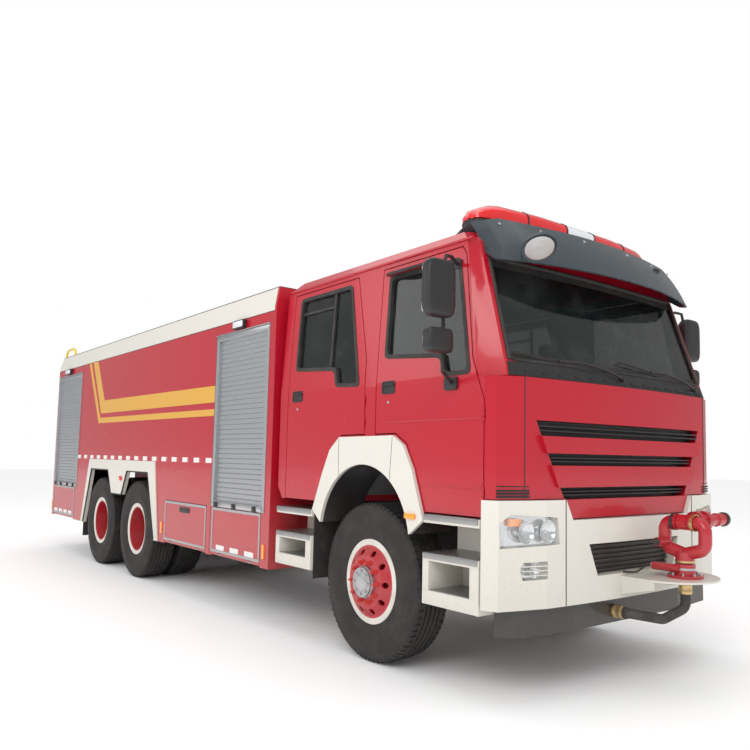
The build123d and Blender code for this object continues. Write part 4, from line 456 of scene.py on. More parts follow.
def grow(outline, amount):
    area = sum(a[0] * b[1] - b[0] * a[1] for a, b in zip(outline, outline[1:] + outline[:1]))
    amount = amount if area > 0 else -amount
    result = []
    for i, point in enumerate(outline):
        before, after = outline[i - 1], outline[(i + 1) % len(outline)]
        e1, e2 = Vector(point) - Vector(before), Vector(after) - Vector(point)
        n1, n2 = Vector((e1.y, -e1.x)).normalized(), Vector((e2.y, -e2.x)).normalized()
        corner = (n1 + n2).normalized()
        result.append(tuple(Vector(point) + corner * amount / max(0.35, corner.dot(n1))))
    return result


def rounded(outline, radius, steps=4):
    result = []
    for i, point in enumerate(outline):
        point, before, after = Vector(point), Vector(outline[i - 1]), Vector(outline[(i + 1) % len(outline)])
        reach = min(radius, (before - point).length / 2.1, (after - point).length / 2.1)
        a, b = point + (before - point).normalized() * reach, point + (after - point).normalized() * reach
        for step in range(steps + 1):
            t = step / steps
            result.append(tuple(a * (1 - t) ** 2 + point * 2 * t * (1 - t) + b * t * t))
    return result


def ring(shape, outer, inner, place, low, high):
    loops = [
        [shape.verts.new(place(u, v, h)) for u, v in outline] for outline,
        h in ((outer, low), (outer, high), (inner, high), (inner, low))
    ]
    count = len(outer)
    for a, b in zip(loops, loops[1:] + loops[:1]):
        for i in range(count):
            j = (i + 1) % count
            shape.faces.new((a[i], a[j], b[j], b[i]))


def plate(shape, outline, place, low, high, bevel=0.0):
    points = [place(u, v, low) for u, v in outline]
    push = Vector(place(*outline[0], high)) - Vector(place(*outline[0], low))
    slab(shape, points, push, bevel)


def cabY(z):
    return 1.215 if z <= 1.98 else 1.215 - 0.0625 * (z - 1.98)


def onCab(side):
    return lambda x, z, h: (frontAxleX + x, side * (cabY(z) + h), z)


def onBody(side):
    return lambda x, z, h: (frontAxleX + x, side * (1.250 + h), z)


def screenX(y, z):
    t = (z - 1.96) / 0.9
    middle, half = 1.375 - 0.290 * t, 1.13 - 0.05 * t
    bow = (half * half + 0.0025) / 0.1
    return middle - bow + math.sqrt(bow * bow - y * y)


def bumperX(y):
    y = abs(y)
    if y <= 0.88:
        return 1.470 - 8.6268 + math.sqrt(8.6268 ** 2 - y * y)
    if y <= 1.2:
        return 1.425 - (y - 0.88) / 0.32 * 0.095
    return 1.330 - (y - 1.2) / 0.045 * 0.10


def boxOf(low, high):
    return [(low[0], low[1]), (high[0], low[1]), (high[0], high[1]), (low[0], high[1])]


# tyres

tyreForm = {
    "radius": 0.5625, "ribs": (-0.060, -0.020, 0.020, 0.060), "groove": 0.011, "grooveDepth": 0.012,
    "blocks": 72, "sides": 120,
    "wall": [
        (0.106, 0.2548), (0.117, 0.290), (0.129, 0.3035), (0.138, 0.318), (0.139, 0.324), (0.1435, 0.338),
        (0.1535, 0.375), (0.1572, 0.405), (0.1568, 0.425), (0.1572, 0.427), (0.1570, 0.433), (0.1555, 0.436),
        (0.1525, 0.462), (0.1480, 0.488), (0.1465, 0.490), (0.1445, 0.508), (0.1400, 0.525), (0.1360, 0.540),
        (0.1260, 0.5520)
    ],
}


def tyreShape(shape, middleY):
    profile = [(-y, r) for y, r in tyreForm["wall"]]
    crown = tyreForm["radius"]
    edge = [-0.118] + sorted(
        v for rib in tyreForm["ribs"] for v in (rib - tyreForm["groove"] / 2, rib + tyreForm["groove"] / 2)
    ) + [0.118]
    profile.append((-0.118, crown - 0.0015 - 0.006))
    for i in range(0, len(edge) - 1):
        inGroove = i % 2 == 1
        level = crown - tyreForm["grooveDepth"] if inGroove else crown - 0.0015
        if i not in (0, len(edge) - 2):
            profile += [(edge[i] + 0.0006, level), (edge[i + 1] - 0.0006, level)]
        elif i == 0:
            profile += [(-0.090, crown - 0.011), (-0.086, crown - 0.0015), (edge[1] - 0.0006, crown - 0.0005)]
        else:
            profile += [(edge[i] + 0.0006, crown - 0.0005), (0.086, crown - 0.0015), (0.090, crown - 0.011)]
    profile.append((0.118, crown - 0.0075))
    profile += [(y, r) for y, r in reversed(tyreForm["wall"])]
    lathe(shape, profile, (0, middleY, 0), (0, 1, 0), tyreForm["sides"])
    for side in (1, -1):  # shoulder blocks
        for n in range(tyreForm["blocks"]):
            a = 2 * math.pi * n / tyreForm["blocks"]
            half = 2 * math.pi / tyreForm["blocks"] * 0.34
            corners = []
            for turn, y, r in (
                (-half, 0.088, 0), (half, 0.088, 0), (half * 0.9, 0.124, 0.0025), (half * 0.8, 0.139, 0.020),
                (-half * 0.8, 0.139, 0.020), (-half * 0.9, 0.124, 0.0025)
            ):
                reach = crown - 0.0003 - r
                corners.append((reach, a + turn, side * y + middleY))
            top = [shape.verts.new((r * math.sin(t), y, r * math.cos(t))) for r, t, y in corners]
            low = [
                shape.verts.new(((r - 0.014) * math.sin(t), y, (r - 0.014) * math.cos(t)))
                for r, t, y in corners
            ]
            shape.faces.new((top[0], top[1], top[2], top[5]))
            shape.faces.new((top[5], top[2], top[3], top[4]))
            for i in range(6):
                j = (i + 1) % 6
                shape.faces.new((top[i], top[j], low[j], low[i]))


wheelTable = [("front", 0.0, 1.011, False), ("mid", -4.6, 1.090, True), ("rear", -5.95, 1.090, True)]
for place, x, y, twin in wheelTable:
    for hand, side in (("left", 1), ("right", -1)):
        shape = bmesh.new()
        tyreShape(shape, 0.0)
        if twin:
            tyreShape(shape, -side * 0.35)
        tyre = closePiece(
            f"{place}_{hand}_tyre_detail", shape, f"{place}_{hand}_wheel", "tyre", 28.0,
            (frontAxleX + x, side * y, 0.5625)
        )
        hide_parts(f"{place}_{hand}_tyre")
print("stage: tyres")


# wheel nuts and hubs

hubForm = {
    "nuts": 10, "frontRing": 0.1425, "frontFace": 0.176, "rearRing": 0.165, "rearFace": -0.163,
    "nutRadius": 0.0165
}
for place, x, y, twin in wheelTable:
    for hand, side in (("left", 1), ("right", -1)):
        body = f"{place}_{hand}_wheel"
        centre = Vector((frontAxleX + x, 0, 0.5625))
        nuts, hub = bmesh.new(), bmesh.new()
        face = y + (hubForm["rearFace"] if twin else hubForm["frontFace"])
        reach = hubForm["rearRing"] if twin else hubForm["frontRing"]
        for n in range(hubForm["nuts"]):
            a = 2 * math.pi * (n + 0.5) / hubForm["nuts"]
            spot = centre + Vector((reach * math.sin(a), 0, reach * math.cos(a)))
            rod(
                nuts, spot + Vector((0, side * (face - 0.012), 0)),
                spot + Vector((0, side * (face + 0.004), 0)), hubForm["nutRadius"] * 1.35, None, 18
            )
            rod(
                nuts, spot + Vector((0, side * face, 0)), spot + Vector((0, side * (face + 0.030), 0)),
                hubForm["nutRadius"], hubForm["nutRadius"] * 0.86, 6
            )
            rod(
                nuts, spot + Vector((0, side * (face + 0.028), 0)),
                spot + Vector((0, side * (face + 0.042), 0)), hubForm["nutRadius"] * 0.6,
                hubForm["nutRadius"] * 0.5, 12
            )
        closePiece(f"{place}_{hand}_wheel_nuts", nuts, body, "redFilm" if not twin else "steel")
        top = y + (-0.030 if twin else 0.214)
        if twin:
            lathe(
                hub,
                [
                    (-0.012, 0.100), (0.0, 0.098), (0.004, 0.090), (0.004, 0.066), (0.026, 0.060),
                    (0.032, 0.052), (0.034, 0.0)
                ],
                centre + Vector((0, side * top, 0)), (0, side, 0), 48
            )
        else:
            lathe(
                hub, [(-0.004, 0.062), (0.001, 0.060), (0.004, 0.054), (0.006, 0.034), (0.008, 0.0)],
                centre + Vector((0, side * top, 0)), (0, side, 0), 48
            )
            lathe(
                hub, [(-0.036, 0.1085), (-0.034, 0.113), (-0.022, 0.113), (-0.019, 0.1085)],
                centre + Vector((0, side * top, 0)), (0, side, 0), 48
            )
        for n in range(8):
            a = 2 * math.pi * n / 8
            r = 0.080 if twin else 0.082
            spot = centre + Vector((r * math.sin(a), side * (top + (0.003 if twin else -0.004)), r * math.cos(a)))
            rod(hub, spot, spot + Vector((0, side * 0.011, 0)), 0.0085, None, 6)
        closePiece(f"{place}_{hand}_hub", hub, body, "steel")
print("stage: hubs")


# gold stripes, dashes and seams on the body sides

stripeForm = {
    "thick": [
        (-6.537, 2.716), (-6.077, 1.983), (-2.500, 1.966), (-2.500, 2.130), (-5.961, 2.155), (-6.327, 2.716)
    ],
    "thin": [
        (-6.727, 2.716), (-6.171, 1.853), (-2.500, 1.834), (-2.500, 1.899), (-6.106, 1.924), (-6.632, 2.716)
    ],
    "proud": 0.0012,
}
dashForm = {"first": -7.04, "pitch": 0.2925, "length": 0.175, "count": 16, "low": 1.370, "high": 1.418}
stripes, dashes, marks, seams = bmesh.new(), bmesh.new(), bmesh.new(), bmesh.new()
for side in (1, -1):
    for key in ("thick", "thin"):
        plate(stripes, stripeForm[key], onBody(side), -0.0004, stripeForm["proud"])
    for n in range(dashForm["count"]):
        x = dashForm["first"] + n * dashForm["pitch"]
        plate(
            dashes, boxOf((x, dashForm["low"]), (x + dashForm["length"], dashForm["high"])), onBody(side),
            -0.0004, 0.0012
        )
        plate(
            marks,
            boxOf((x + dashForm["length"] * 0.78, dashForm["low"]), (x + dashForm["length"], dashForm["high"])),
            onBody(side), 0.0010, 0.0018
        )
    for low, high in (
        ((-2.4995, 0.50), (-2.4945, 2.715)), ((-7.0, 1.3), (-6.996, 2.715)), ((-1.3125, 0.50), (-1.3155, 2.7))
    ):
        plate(seams, boxOf(low, high), onBody(side), -0.0004, 0.0010)
    plate(seams, boxOf((-8.304, 2.717), (-1.314, 2.723)), onBody(side), -0.0004, 0.0012)
closePiece("gold_stripes", stripes, "chassis", "gold")
closePiece("reflective_dashes", dashes, "chassis", "white")
closePiece("reflective_marks", marks, "chassis", "redFilm")
closePiece("body_seams", seams, "chassis", "rubber")
print("stage: stripes")


# flaps: aluminium edging, handles and dashes

flapForm = {"low": 0.505, "high": 0.948, "edge": 0.024, "dashLow": 0.525, "dashHigh": 0.570, "dash": 0.17}
flapTable = [
    ("front", -2.452, -1.473, 3, False), ("mid", -3.650, -2.590, 3, True), ("rear", -8.245, -7.130, 4, False)
]
for place, xFrom, xTo, count, handled in flapTable:
    for hand, side in (("left", 1), ("right", -1)):
        body = f"{place}_{hand}_flap"
        trim, dash, grip = bmesh.new(), bmesh.new(), bmesh.new()
        outer = boxOf((xFrom + 0.001, flapForm["low"] + 0.024), (xTo - 0.001, flapForm["high"] - 0.001))
        ring(trim, outer, grow(outer, -flapForm["edge"]), onBody(side), -0.0005, 0.0035)
        closePiece(f"{body}_edging", trim, body, "aluminium")
        if not handled:
            pitch = (xTo - xFrom - 0.1) / count
            for n in range(count):
                x = xFrom + 0.05 + pitch * (n + 0.5) - flapForm["dash"] / 2
                plate(
                    dash,
                    boxOf((x, flapForm["dashLow"] + 0.03), (x + flapForm["dash"], flapForm["dashHigh"] + 0.03)),
                    onBody(side), -0.0004, 0.0016
                )
            closePiece(f"{body}_dashes", dash, body, "white")
        if not handled:
            grip.free()
            continue
        dash.free()
        middle = (xFrom + xTo) / 2
        ring(
            grip, rounded(boxOf((middle - 0.125, 0.846), (middle + 0.125, 0.904)), 0.02),
            rounded(boxOf((middle - 0.110, 0.858), (middle + 0.110, 0.892)), 0.014), onBody(side), -0.0005,
            0.006
        )
        plate(
            grip, rounded(boxOf((middle - 0.112, 0.857), (middle + 0.112, 0.893)), 0.014), onBody(side),
            -0.0005, 0.0015
        )
        plate(
            grip, rounded(boxOf((middle - 0.085, 0.868), (middle + 0.085, 0.884)), 0.007), onBody(side), 0.001,
            0.010, 0.0015
        )
        closePiece(f"{body}_handle", grip, body, "black")
print("stage: flaps")


# shutters: lift bars, latches, top housings and work lamps

shutterForm = {"barLow": 0.962, "barHigh": 1.004, "latch": (0.055, 0.050)}
shutterTable = [(-2.483, -1.413, (-2.358, -1.977, -1.576)), (-8.262, -7.039, (-8.120, -7.820, -7.480, -7.180))]
bars, latches, lampBoxes, lampFaces, gutters = bmesh.new(), bmesh.new(), bmesh.new(), bmesh.new(), bmesh.new()
for side in (1, -1):
    place = onBody(side)
    for xFrom, xTo, spots in shutterTable:
        plate(
            bars, boxOf((xFrom + 0.045, shutterForm["barLow"]), (xTo - 0.045, shutterForm["barHigh"])), place,
            0.001, 0.014, 0.003
        )
        plate(bars, boxOf((xFrom + 0.010, 2.566), (xTo - 0.010, 2.606)), place, 0.001, 0.011, 0.003)
        for x in spots:
            w, h = shutterForm["latch"]
            plate(
                latches, rounded(boxOf((x - w / 2, 0.955), (x + w / 2, 0.955 + h)), 0.01), place, 0.010, 0.026,
                0.002
            )
            plate(latches, boxOf((x - 0.012, 0.968), (x + 0.012, 0.992)), place, 0.024, 0.031, 0.002)
        plate(gutters, boxOf((xFrom - 0.012, 2.614), (xTo + 0.012, 2.622)), place, -0.0005, 0.016, 0.002)
    for xFrom, xTo in ((-2.090, -1.870), (-7.840, -7.570)):
        plate(lampBoxes, rounded(boxOf((xFrom, 2.634), (xTo, 2.712)), 0.014), place, -0.0005, 0.040, 0.004)
        plate(
            lampFaces, rounded(boxOf((xFrom + 0.012, 2.645), (xTo - 0.012, 2.701)), 0.010), place, 0.036, 0.044,
            0.002
        )
closePiece("shutter_bars", bars, "chassis", "steel")
closePiece("shutter_latches", latches, "chassis", "black")
closePiece("rain_strips", gutters, "chassis", "aluminium")
closePiece("work_lamp_boxes", lampBoxes, "chassis", "black")
closePiece("work_lamp_faces", lampFaces, "chassis", "lampClear")
print("stage: shutters")


# roof edge, arch trims and fittings

edges, fittings, archTrim = bmesh.new(), bmesh.new(), bmesh.new()
for side in (1, -1):
    y = side * 1.206
    slab(edges, level(-8.20, -1.313, y - 0.018, y + 0.018, 2.9290), (0, 0, 0.006), 0.002)
    onArch = lambda x, z, h, s=side: (frontAxleX + x, s * (1.262 + h), z)
    plate(fittings, rounded(boxOf((-5.150, 1.112), (-5.070, 1.168)), 0.02), onArch, -0.0005, 0.018, 0.004)
    inner = [
        (-6.625, 0.50), (-6.345, 1.233), (-5.630, 1.233), (-5.465, 0.94), (-5.085, 0.94), (-4.920, 1.233),
        (-4.205, 1.233), (-3.925, 0.50)
    ]
    for a, b in zip(inner, inner[1:]):
        tube(archTrim, [onArch(*a, -0.004), onArch(*b, -0.004)], 0.009, 8)
slab(edges, level(-1.342, -1.313, -1.2, 1.2, 2.929), (0, 0, 0.006), 0.002)
closePiece("roof_edge_strips", edges, "chassis", "rubber")
closePiece("arch_fittings", fittings, "chassis", "lampRed")
closePiece("arch_edge_trims", archTrim, "chassis", "rubber")
print("stage: roof and arches")


# cab doors: seals, dividers, handles, keyholes and creases

windowTable = {
    "rear": [
        (-1.017, 2.170), (-0.430, 2.130), (-0.398, 2.000), (-0.100, 1.985), (-0.280, 2.765), (-1.017, 2.765)
    ],
    "front": [(0.214, 2.165), (0.815, 2.118), (0.850, 1.990), (1.085, 1.990), (0.941, 2.740), (0.214, 2.745)],
}
doorForm = {
    "handle": {
        "rear": (-1.047, -0.890), "front": (0.193, 0.343)
    }, "handleLow": 1.897, "handleHigh": 1.988, "keyZ": 1.838,
    "divider": {"rear": (-0.512, 2.140, 2.765), "front": None},
}
for place in ("front", "rear"):
    for hand, side in (("left", 1), ("right", -1)):
        body = f"{place}_{hand}_door"
        on = onCab(side)
        seal, grip, metal = bmesh.new(), bmesh.new(), bmesh.new()
        outline = windowTable[place]
        ring(
            seal, rounded(grow(outline, 0.013), 0.045, 5), rounded(grow(outline, -0.016), 0.035, 5), on, -0.024,
            0.004
        )
        bar = doorForm["divider"][place]
        if bar:
            plate(seal, boxOf((bar[0] - 0.012, bar[1]), (bar[0] + 0.012, bar[2])), on, -0.024, -0.006)
            plate(seal, boxOf((-1.010, 2.630), (bar[0], 2.650)), on, -0.024, -0.008)
        closePiece(f"{body}_window_seal", seal, body, "rubber")
        low, high = doorForm["handle"][place]
        recess = rounded(boxOf((low, doorForm["handleLow"]), (high, doorForm["handleHigh"])), 0.022)
        ring(grip, recess, grow(recess, -0.008), on, -0.0005, 0.004)
        plate(grip, grow(recess, -0.006), on, -0.0005, 0.0008)
        bow = [
            on(
                low + (high - low) * t, 1.957 + 0.004 * math.sin(math.pi * t),
                0.001 + 0.006 * math.sin(math.pi * t) ** 0.6
            )
            for t in (0.06, 0.16, 0.3, 0.5, 0.7, 0.84, 0.94)
        ]
        tube(grip, bow, 0.010, 10, False, 0.7)
        closePiece(f"{body}_handle", grip, body, "black")
        rod(
            metal, on((low + high) / 2, doorForm["keyZ"], -0.001),
            on((low + high) / 2, doorForm["keyZ"], 0.004), 0.011
        )
        rod(
            metal, on((low + high) / 2, doorForm["keyZ"], 0.003), on((low + high) / 2, doorForm["keyZ"], 0.006),
            0.0075
        )
        closePiece(f"{body}_lock", metal, body, "chrome")
        creases = bmesh.new()
        if place == "front":
            for x, z, end in ((0.235, 1.700, 1.205), (0.674, 1.280, 1.205)):
                slab(
                    creases,
                    [
                        on(x, z - 0.006, -0.001), on(end, z - 0.006, -0.001), on(end, z - 0.006, 0.0045),
                        on(x + 0.01, z - 0.006, 0.0045)
                    ],
                    (0, 0, 0.010), 0.0018
                )
            closePiece(f"{body}_crease", creases, body, "red")
            wing = bmesh.new()
            for a, b in zip(range(12), range(1, 13)):
                quad = []
                for n, depth in ((a, 0.0), (b, 0.0), (b, 1.0), (a, 1.0)):
                    t = n / 12
                    bulge = math.sin(math.pi * t)
                    quad.append(on(0.150 + 0.480 * t, 2.768 - 0.030 * depth * bulge, 0.001 + 0.075 * depth * bulge))
                if a in (0, 11):
                    quad = quad[:3] if a == 0 else [quad[0], quad[1], quad[3]]
                slab(wing, quad, (0, 0, 0.020))
            closePiece(f"{body}_wing", wing, body, "black")
        else:
            creases.free()
print("stage: doors")


# mirrors on the front doors

mirrorForm = {
    "x": 1.030, "y": 1.430, "housings": [(2.310, 2.670, 0.230), (2.090, 2.245, 0.200)], "depth": 0.090,
    "tube": 0.012
}


def crownedBox(shape, centre, size, power=3.2, sides=28, rows=14):
    # a box whose faces all bulge a little, as a moulded housing does
    rings = []
    for r in range(1, rows):
        v = math.pi * r / rows - math.pi / 2
        line = []
        for s in range(sides):
            u = 2 * math.pi * s / sides
            soft = lambda t: math.copysign(abs(t) ** (2 / power), t)
            cv, sv = soft(math.cos(v)), soft(math.sin(v))
            spot = (
                centre[0] + size[0] / 2 * cv * soft(math.cos(u)),
                centre[1] + size[1] / 2 * cv * soft(math.sin(u)),
                centre[2] + size[2] / 2 * sv,
            )
            line.append(shape.verts.new(spot))
        rings.append(line)
    for a, b in zip(rings, rings[1:]):
        for s in range(sides):
            t = (s + 1) % sides
            shape.faces.new((a[s], a[t], b[t], b[s]))
    shape.faces.new(rings[0])
    shape.faces.new(rings[-1])


for hand, side in (("left", 1), ("right", -1)):
    body = f"front_{hand}_door"
    shell, glass = bmesh.new(), bmesh.new()
    x, y = frontAxleX + mirrorForm["x"], side * mirrorForm["y"]
    inner = side * (mirrorForm["y"] - 0.06)
    line = [
        Vector((frontAxleX + 0.93, side * 1.217, 1.925)), Vector((x - 0.02, inner, 1.985)),
        Vector((x - 0.02, inner, 2.05)), Vector((x - 0.02, inner, 2.66)),
        Vector((x - 0.02, inner - side * 0.02, 2.715)), Vector((x - 0.04, inner - side * 0.08, 2.722)),
        Vector((frontAxleX + 0.93, side * 1.173, 2.700))
    ]
    tube(shell, line, mirrorForm["tube"], 14)
    plate(shell, rounded(boxOf((0.865, 1.885), (0.985, 1.968)), 0.02), onCab(side), -0.0003, 0.016, 0.003)
    plate(shell, rounded(boxOf((0.895, 2.675), (0.965, 2.735)), 0.015), onCab(side), -0.0003, 0.014, 0.003)
    for low, high, width in mirrorForm["housings"]:
        crownedBox(shell, (x + 0.004, y, (low + high) / 2), (mirrorForm["depth"], width, high - low), 5.0)
        inset = rounded(
            [
                (y - width * 0.42, low + 0.025), (y + width * 0.42, low + 0.025),
                (y + width * 0.42, high - 0.025), (y - width * 0.42, high - 0.025)
            ],
            0.03
        )
        plate(glass, inset, lambda u, v, h: (x - 0.038 - h, u, v), 0.0, 0.005)
    piece = closePiece(f"{hand}_mirror_housing", shell, body, "black")
    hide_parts(f"{hand}_mirror")
    closePiece(f"{hand}_mirror_glass", glass, body, "chrome")
print("stage: mirrors")


# windscreen border, cowl, wiper blades and roof gutter



def faceStrip(shape, corners, lift, columns=24, rows=3, thick=0.003):
    # a sheet that follows the curved face between two heights: corners give (half width, z) below and above
    (halfLow, zLow), (halfHigh, zHigh) = corners
    grid = []
    for r in range(rows + 1):
        t = r / rows
        half, z = halfLow + (halfHigh - halfLow) * t, zLow + (zHigh - zLow) * t
        line = []
        for c in range(columns + 1):
            y = half * (2 * c / columns - 1)
            line.append((frontAxleX + screenX(y, z) + lift, y, z))
        grid.append(line)
    front = [[shape.verts.new(p) for p in line] for line in grid]
    back = [[shape.verts.new((p[0] - thick, p[1], p[2])) for p in line] for line in grid]
    for r in range(rows):
        for c in range(columns):
            shape.faces.new((front[r][c], front[r][c + 1], front[r + 1][c + 1], front[r + 1][c]))
            shape.faces.new((back[r][c], back[r + 1][c], back[r + 1][c + 1], back[r][c + 1]))
    loop = [(0, c) for c in range(columns)] + [(r, columns) for r in range(rows)] + [
        (rows, columns - c) for c in range(columns)
    ] + [(rows - r, 0) for r in range(rows)]
    for a, b in zip(loop, loop[1:] + loop[:1]):
        shape.faces.new((front[a[0]][a[1]], front[b[0]][b[1]], back[b[0]][b[1]], back[a[0]][a[1]]))


rakeForm = {"from": 1.96, "gutter": 2.86, "roof": 2.95, "lean": 0.155, "roofLean": 0.107, "setBack": 0.15}


def raked(point):
    # the cab's front above the cowl leans back; the front door's edge stays where it is
    x, z = point.x - frontAxleX, point.z
    if z <= rakeForm["from"] or x < 0.8:
        return point
    doorEdge = 1.105 - 0.158 * (z - 2.083) if z > 2.083 else 1.105 + 0.41 * (2.083 - z)
    if z <= rakeForm["gutter"]:
        lean = rakeForm["lean"] * (z - rakeForm["from"]) / (rakeForm["gutter"] - rakeForm["from"])
    else:
        t = min(1.0, (z - rakeForm["gutter"]) / (rakeForm["roof"] - rakeForm["gutter"]))
        lean = rakeForm["lean"] + (rakeForm["roofLean"] - rakeForm["lean"]) * t
        x += rakeForm["setBack"] * t
    share = min(1.0, max(0.0, (x - doorEdge - 0.01) / 0.18))
    return Vector((point.x - lean * share, point.y, point.z))


def rakedCopy(node, name, finish):
    shape = bmesh.new()
    shape.from_mesh(nodes[node].data)
    shape.transform(nodes[node].matrix_world)
    for vert in shape.verts:
        vert.co = raked(vert.co)
    piece = closePiece(name, shape, "chassis", finish)
    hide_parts(node)


rakedCopy("cab_shell", "cab_shell_raked", "cabRed")
rakedCopy("windscreen", "windscreen_raked", "glass")
cowl, border, blades = bmesh.new(), bmesh.new(), bmesh.new()
faceStrip(cowl, ((1.118, 1.963), (1.100, 2.052)), 0.006, thick=0.008)
for n in range(14):
    y = -0.98 + n * 0.15
    slab(
        cowl,
        [
            (frontAxleX + screenX(y, 1.99) + 0.004, y, 1.985),
            (frontAxleX + screenX(y, 1.99) + 0.004, y + 0.11, 1.985),
            (frontAxleX + screenX(y, 1.99) + 0.004, y + 0.11, 1.998),
            (frontAxleX + screenX(y, 1.99) + 0.004, y, 1.998)
        ],
        (0.007, 0, 0), 0.001
    )
closePiece("cowl_panel", cowl, "chassis", "black")
lowLine = [(frontAxleX + screenX(y, 2.066) + 0.001, y, 2.064) for y in (n * 0.0868 - 1.085 for n in range(26))]
highLine = [(frontAxleX + screenX(y, 2.745) + 0.001, y, 2.747) for y in (n * 0.0832 - 1.040 for n in range(26))]
tube(border, lowLine + list(reversed(highLine)), 0.013, 8, True)
faceStrip(border, ((1.078, 2.068), (1.075, 2.105)), -0.0085, thick=0.003)
faceStrip(border, ((1.044, 2.690), (1.040, 2.742)), -0.0085, thick=0.003)
closePiece("windscreen_seal", border, "chassis", "rubber")
arms = bmesh.new()


def onScreen(pivotY, tipY, tipZ, t, lift, rise):
    y, z = pivotY + (tipY - pivotY) * t, 2.015 + (tipZ - 2.015) * t + rise
    return Vector((frontAxleX + screenX(y, z) + lift, y, z))


for pivotY, tipY, tipZ in ((-0.03, -1.05, 2.110), (0.958, -0.007, 2.140)):
    wiper = lambda t, lift, rise: onScreen(pivotY, tipY, tipZ, t, lift, rise)
    tube(
        arms,
        [
            wiper(t, lift, rise) for t, lift,
            rise in (
                (0.0, 0.022, 0.0), (0.06, 0.030, 0.014), (0.2, 0.036, 0.035), (0.38, 0.034, 0.040),
                (0.56, 0.026, 0.022), (0.62, 0.020, 0.010)
            )
        ],
        0.010, 10, False, 0.6
    )
    rod(arms, wiper(0.0, -0.004, 0.0), wiper(0.0, 0.034, 0.0), 0.020, 0.014)
    tube(
        blades,
        [
            wiper(t, 0.008, 0.006 * math.sin(math.pi * (t - 0.26) / 0.74))
            for t in (0.26, 0.4, 0.55, 0.7, 0.85, 1.0)
        ],
        0.006, 8
    )
    tube(
        blades,
        [
            wiper(t, 0.016, 0.004 + 0.010 * math.sin(math.pi * (t - 0.26) / 0.74))
            for t in (0.27, 0.4, 0.55, 0.7, 0.85, 0.99)
        ],
        0.004, 6
    )
armPiece = closePiece("wiper_arms", arms, "chassis", "black")
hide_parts("wipers")
closePiece("wiper_blades", blades, "chassis", "rubber")

gutter = bmesh.new()
for side in (1, -1):
    tube(gutter, [(frontAxleX + x, side * 1.164, 2.862) for x in (-1.245, -0.6, 0.0, 0.6, 1.05)], 0.010, 8)
closePiece("roof_gutters", gutter, "chassis", "red")
print("stage: windscreen")


# sun visor screws, marker lamps and the look-down mirror's rim

# per column: x and half width at the top edge, x, half width and z at the bottom edge
visorTable = [
    (
        0.895, 1.040, 1.050, 1.067, 2.790
    ), (1.000, 1.000, 1.170, 1.080, 2.715), (1.070, 0.960, 1.235, 1.055, 2.700),
    (
        1.100, 0.820, 1.296, 0.900, 2.700
    ), (1.130, 0.650, 1.360, 0.670, 2.700), (1.160, 0.450, 1.400, 0.450, 2.700),
    (1.180, 0.250, 1.420, 0.270, 2.700), (1.190, 0.000, 1.430, 0.000, 2.700),
]
visorForm = {"topZ": 3.025, "foot": (-0.20, 2.954), "wall": 0.014, "belly": 0.018, "rows": 7}


def visorPoint(column, t, inset=0.0):
    xTop, yTop, xLow, yLow, zLow = column
    out = visorForm["belly"] * math.sin(math.pi * t) - inset
    x = frontAxleX + xTop + (xLow - xTop) * t + out * 0.8
    y = yTop + (yLow - yTop) * t
    y -= math.copysign(inset * 0.5, y) if y else 0.0
    return Vector((x, y, visorForm["topZ"] + (zLow - visorForm["topZ"]) * t + out * 0.3))


def visorLine(column, inset):
    xTop, yTop = column[:2]
    drop = Vector((0, 0, -inset * 0.6))
    foot = Vector((frontAxleX + xTop + visorForm["foot"][0], yTop * 0.985, visorForm["foot"][1])) + drop
    lip = Vector((frontAxleX + xTop - 0.035, yTop, visorForm["topZ"] - 0.004)) + drop
    return [foot, lip] + [
        visorPoint(column, r / visorForm["rows"], inset) for r in range(visorForm["rows"] + 1)
    ]


visorShell, visor, visorLamps, lookDown = bmesh.new(), bmesh.new(), bmesh.new(), bmesh.new()
columns = [(a, -b, c, -d, e) for a, b, c, d, e in visorTable] + list(reversed(visorTable[:-1]))
skins = []
for inset in (0.0, visorForm["wall"]):
    skins.append([[visorShell.verts.new(p) for p in visorLine(column, inset)] for column in columns])
outer, inner = skins
rows = len(outer[0])
for skin in skins:
    for a, b in zip(skin, skin[1:]):
        for r in range(rows - 1):
            visorShell.faces.new((a[r], b[r], b[r + 1], a[r + 1]))
rim = [(c, 0) for c in range(len(columns) - 1)] + [(len(columns) - 1, r) for r in range(rows - 1)]
rim += [(c, rows - 1) for c in range(len(columns) - 1, 0, -1)] + [(0, r) for r in range(rows - 1, 0, -1)]
for (c1, r1), (c2, r2) in zip(rim, rim[1:] + rim[:1]):
    visorShell.faces.new((outer[c1][r1], outer[c2][r2], inner[c2][r2], inner[c1][r1]))
for n in (2, 4, 6):
    for side in (1, -1):
        xTop, y, xLow, yLow, zLow = visorTable[n]
        spot = visorPoint((xTop, side * y, xLow, side * yLow, zLow), 0.16)
        rod(visor, spot, spot + Vector((0.006, 0, 0.004)), 0.012, 0.010)
for side in (1, -1):
    spot = visorPoint((1.130, side * 0.650, 1.360, side * 0.670, 2.700), 0.30)
    crownedBox(visorLamps, spot, (0.030, 0.080, 0.034), 3.5, 20, 10)
mirrorAt, mirrorFace = Vector((frontAxleX + 1.420, -0.950, 2.755)), Vector((0.49, -0.27, -0.83))
lathe(
    visorShell,
    [
        (0.004, 0.0), (0.004, 0.104), (0.007, 0.111), (0.003, 0.116), (-0.008, 0.112), (-0.028, 0.080),
        (-0.036, 0.0)
    ],
    mirrorAt, mirrorFace, 56
)
tube(
    visorShell,
    [
        (frontAxleX + 1.262, -0.900, 2.800), (frontAxleX + 1.330, -0.925, 2.815),
        (frontAxleX + 1.395, -0.942, 2.790)
    ],
    0.011, 12
)
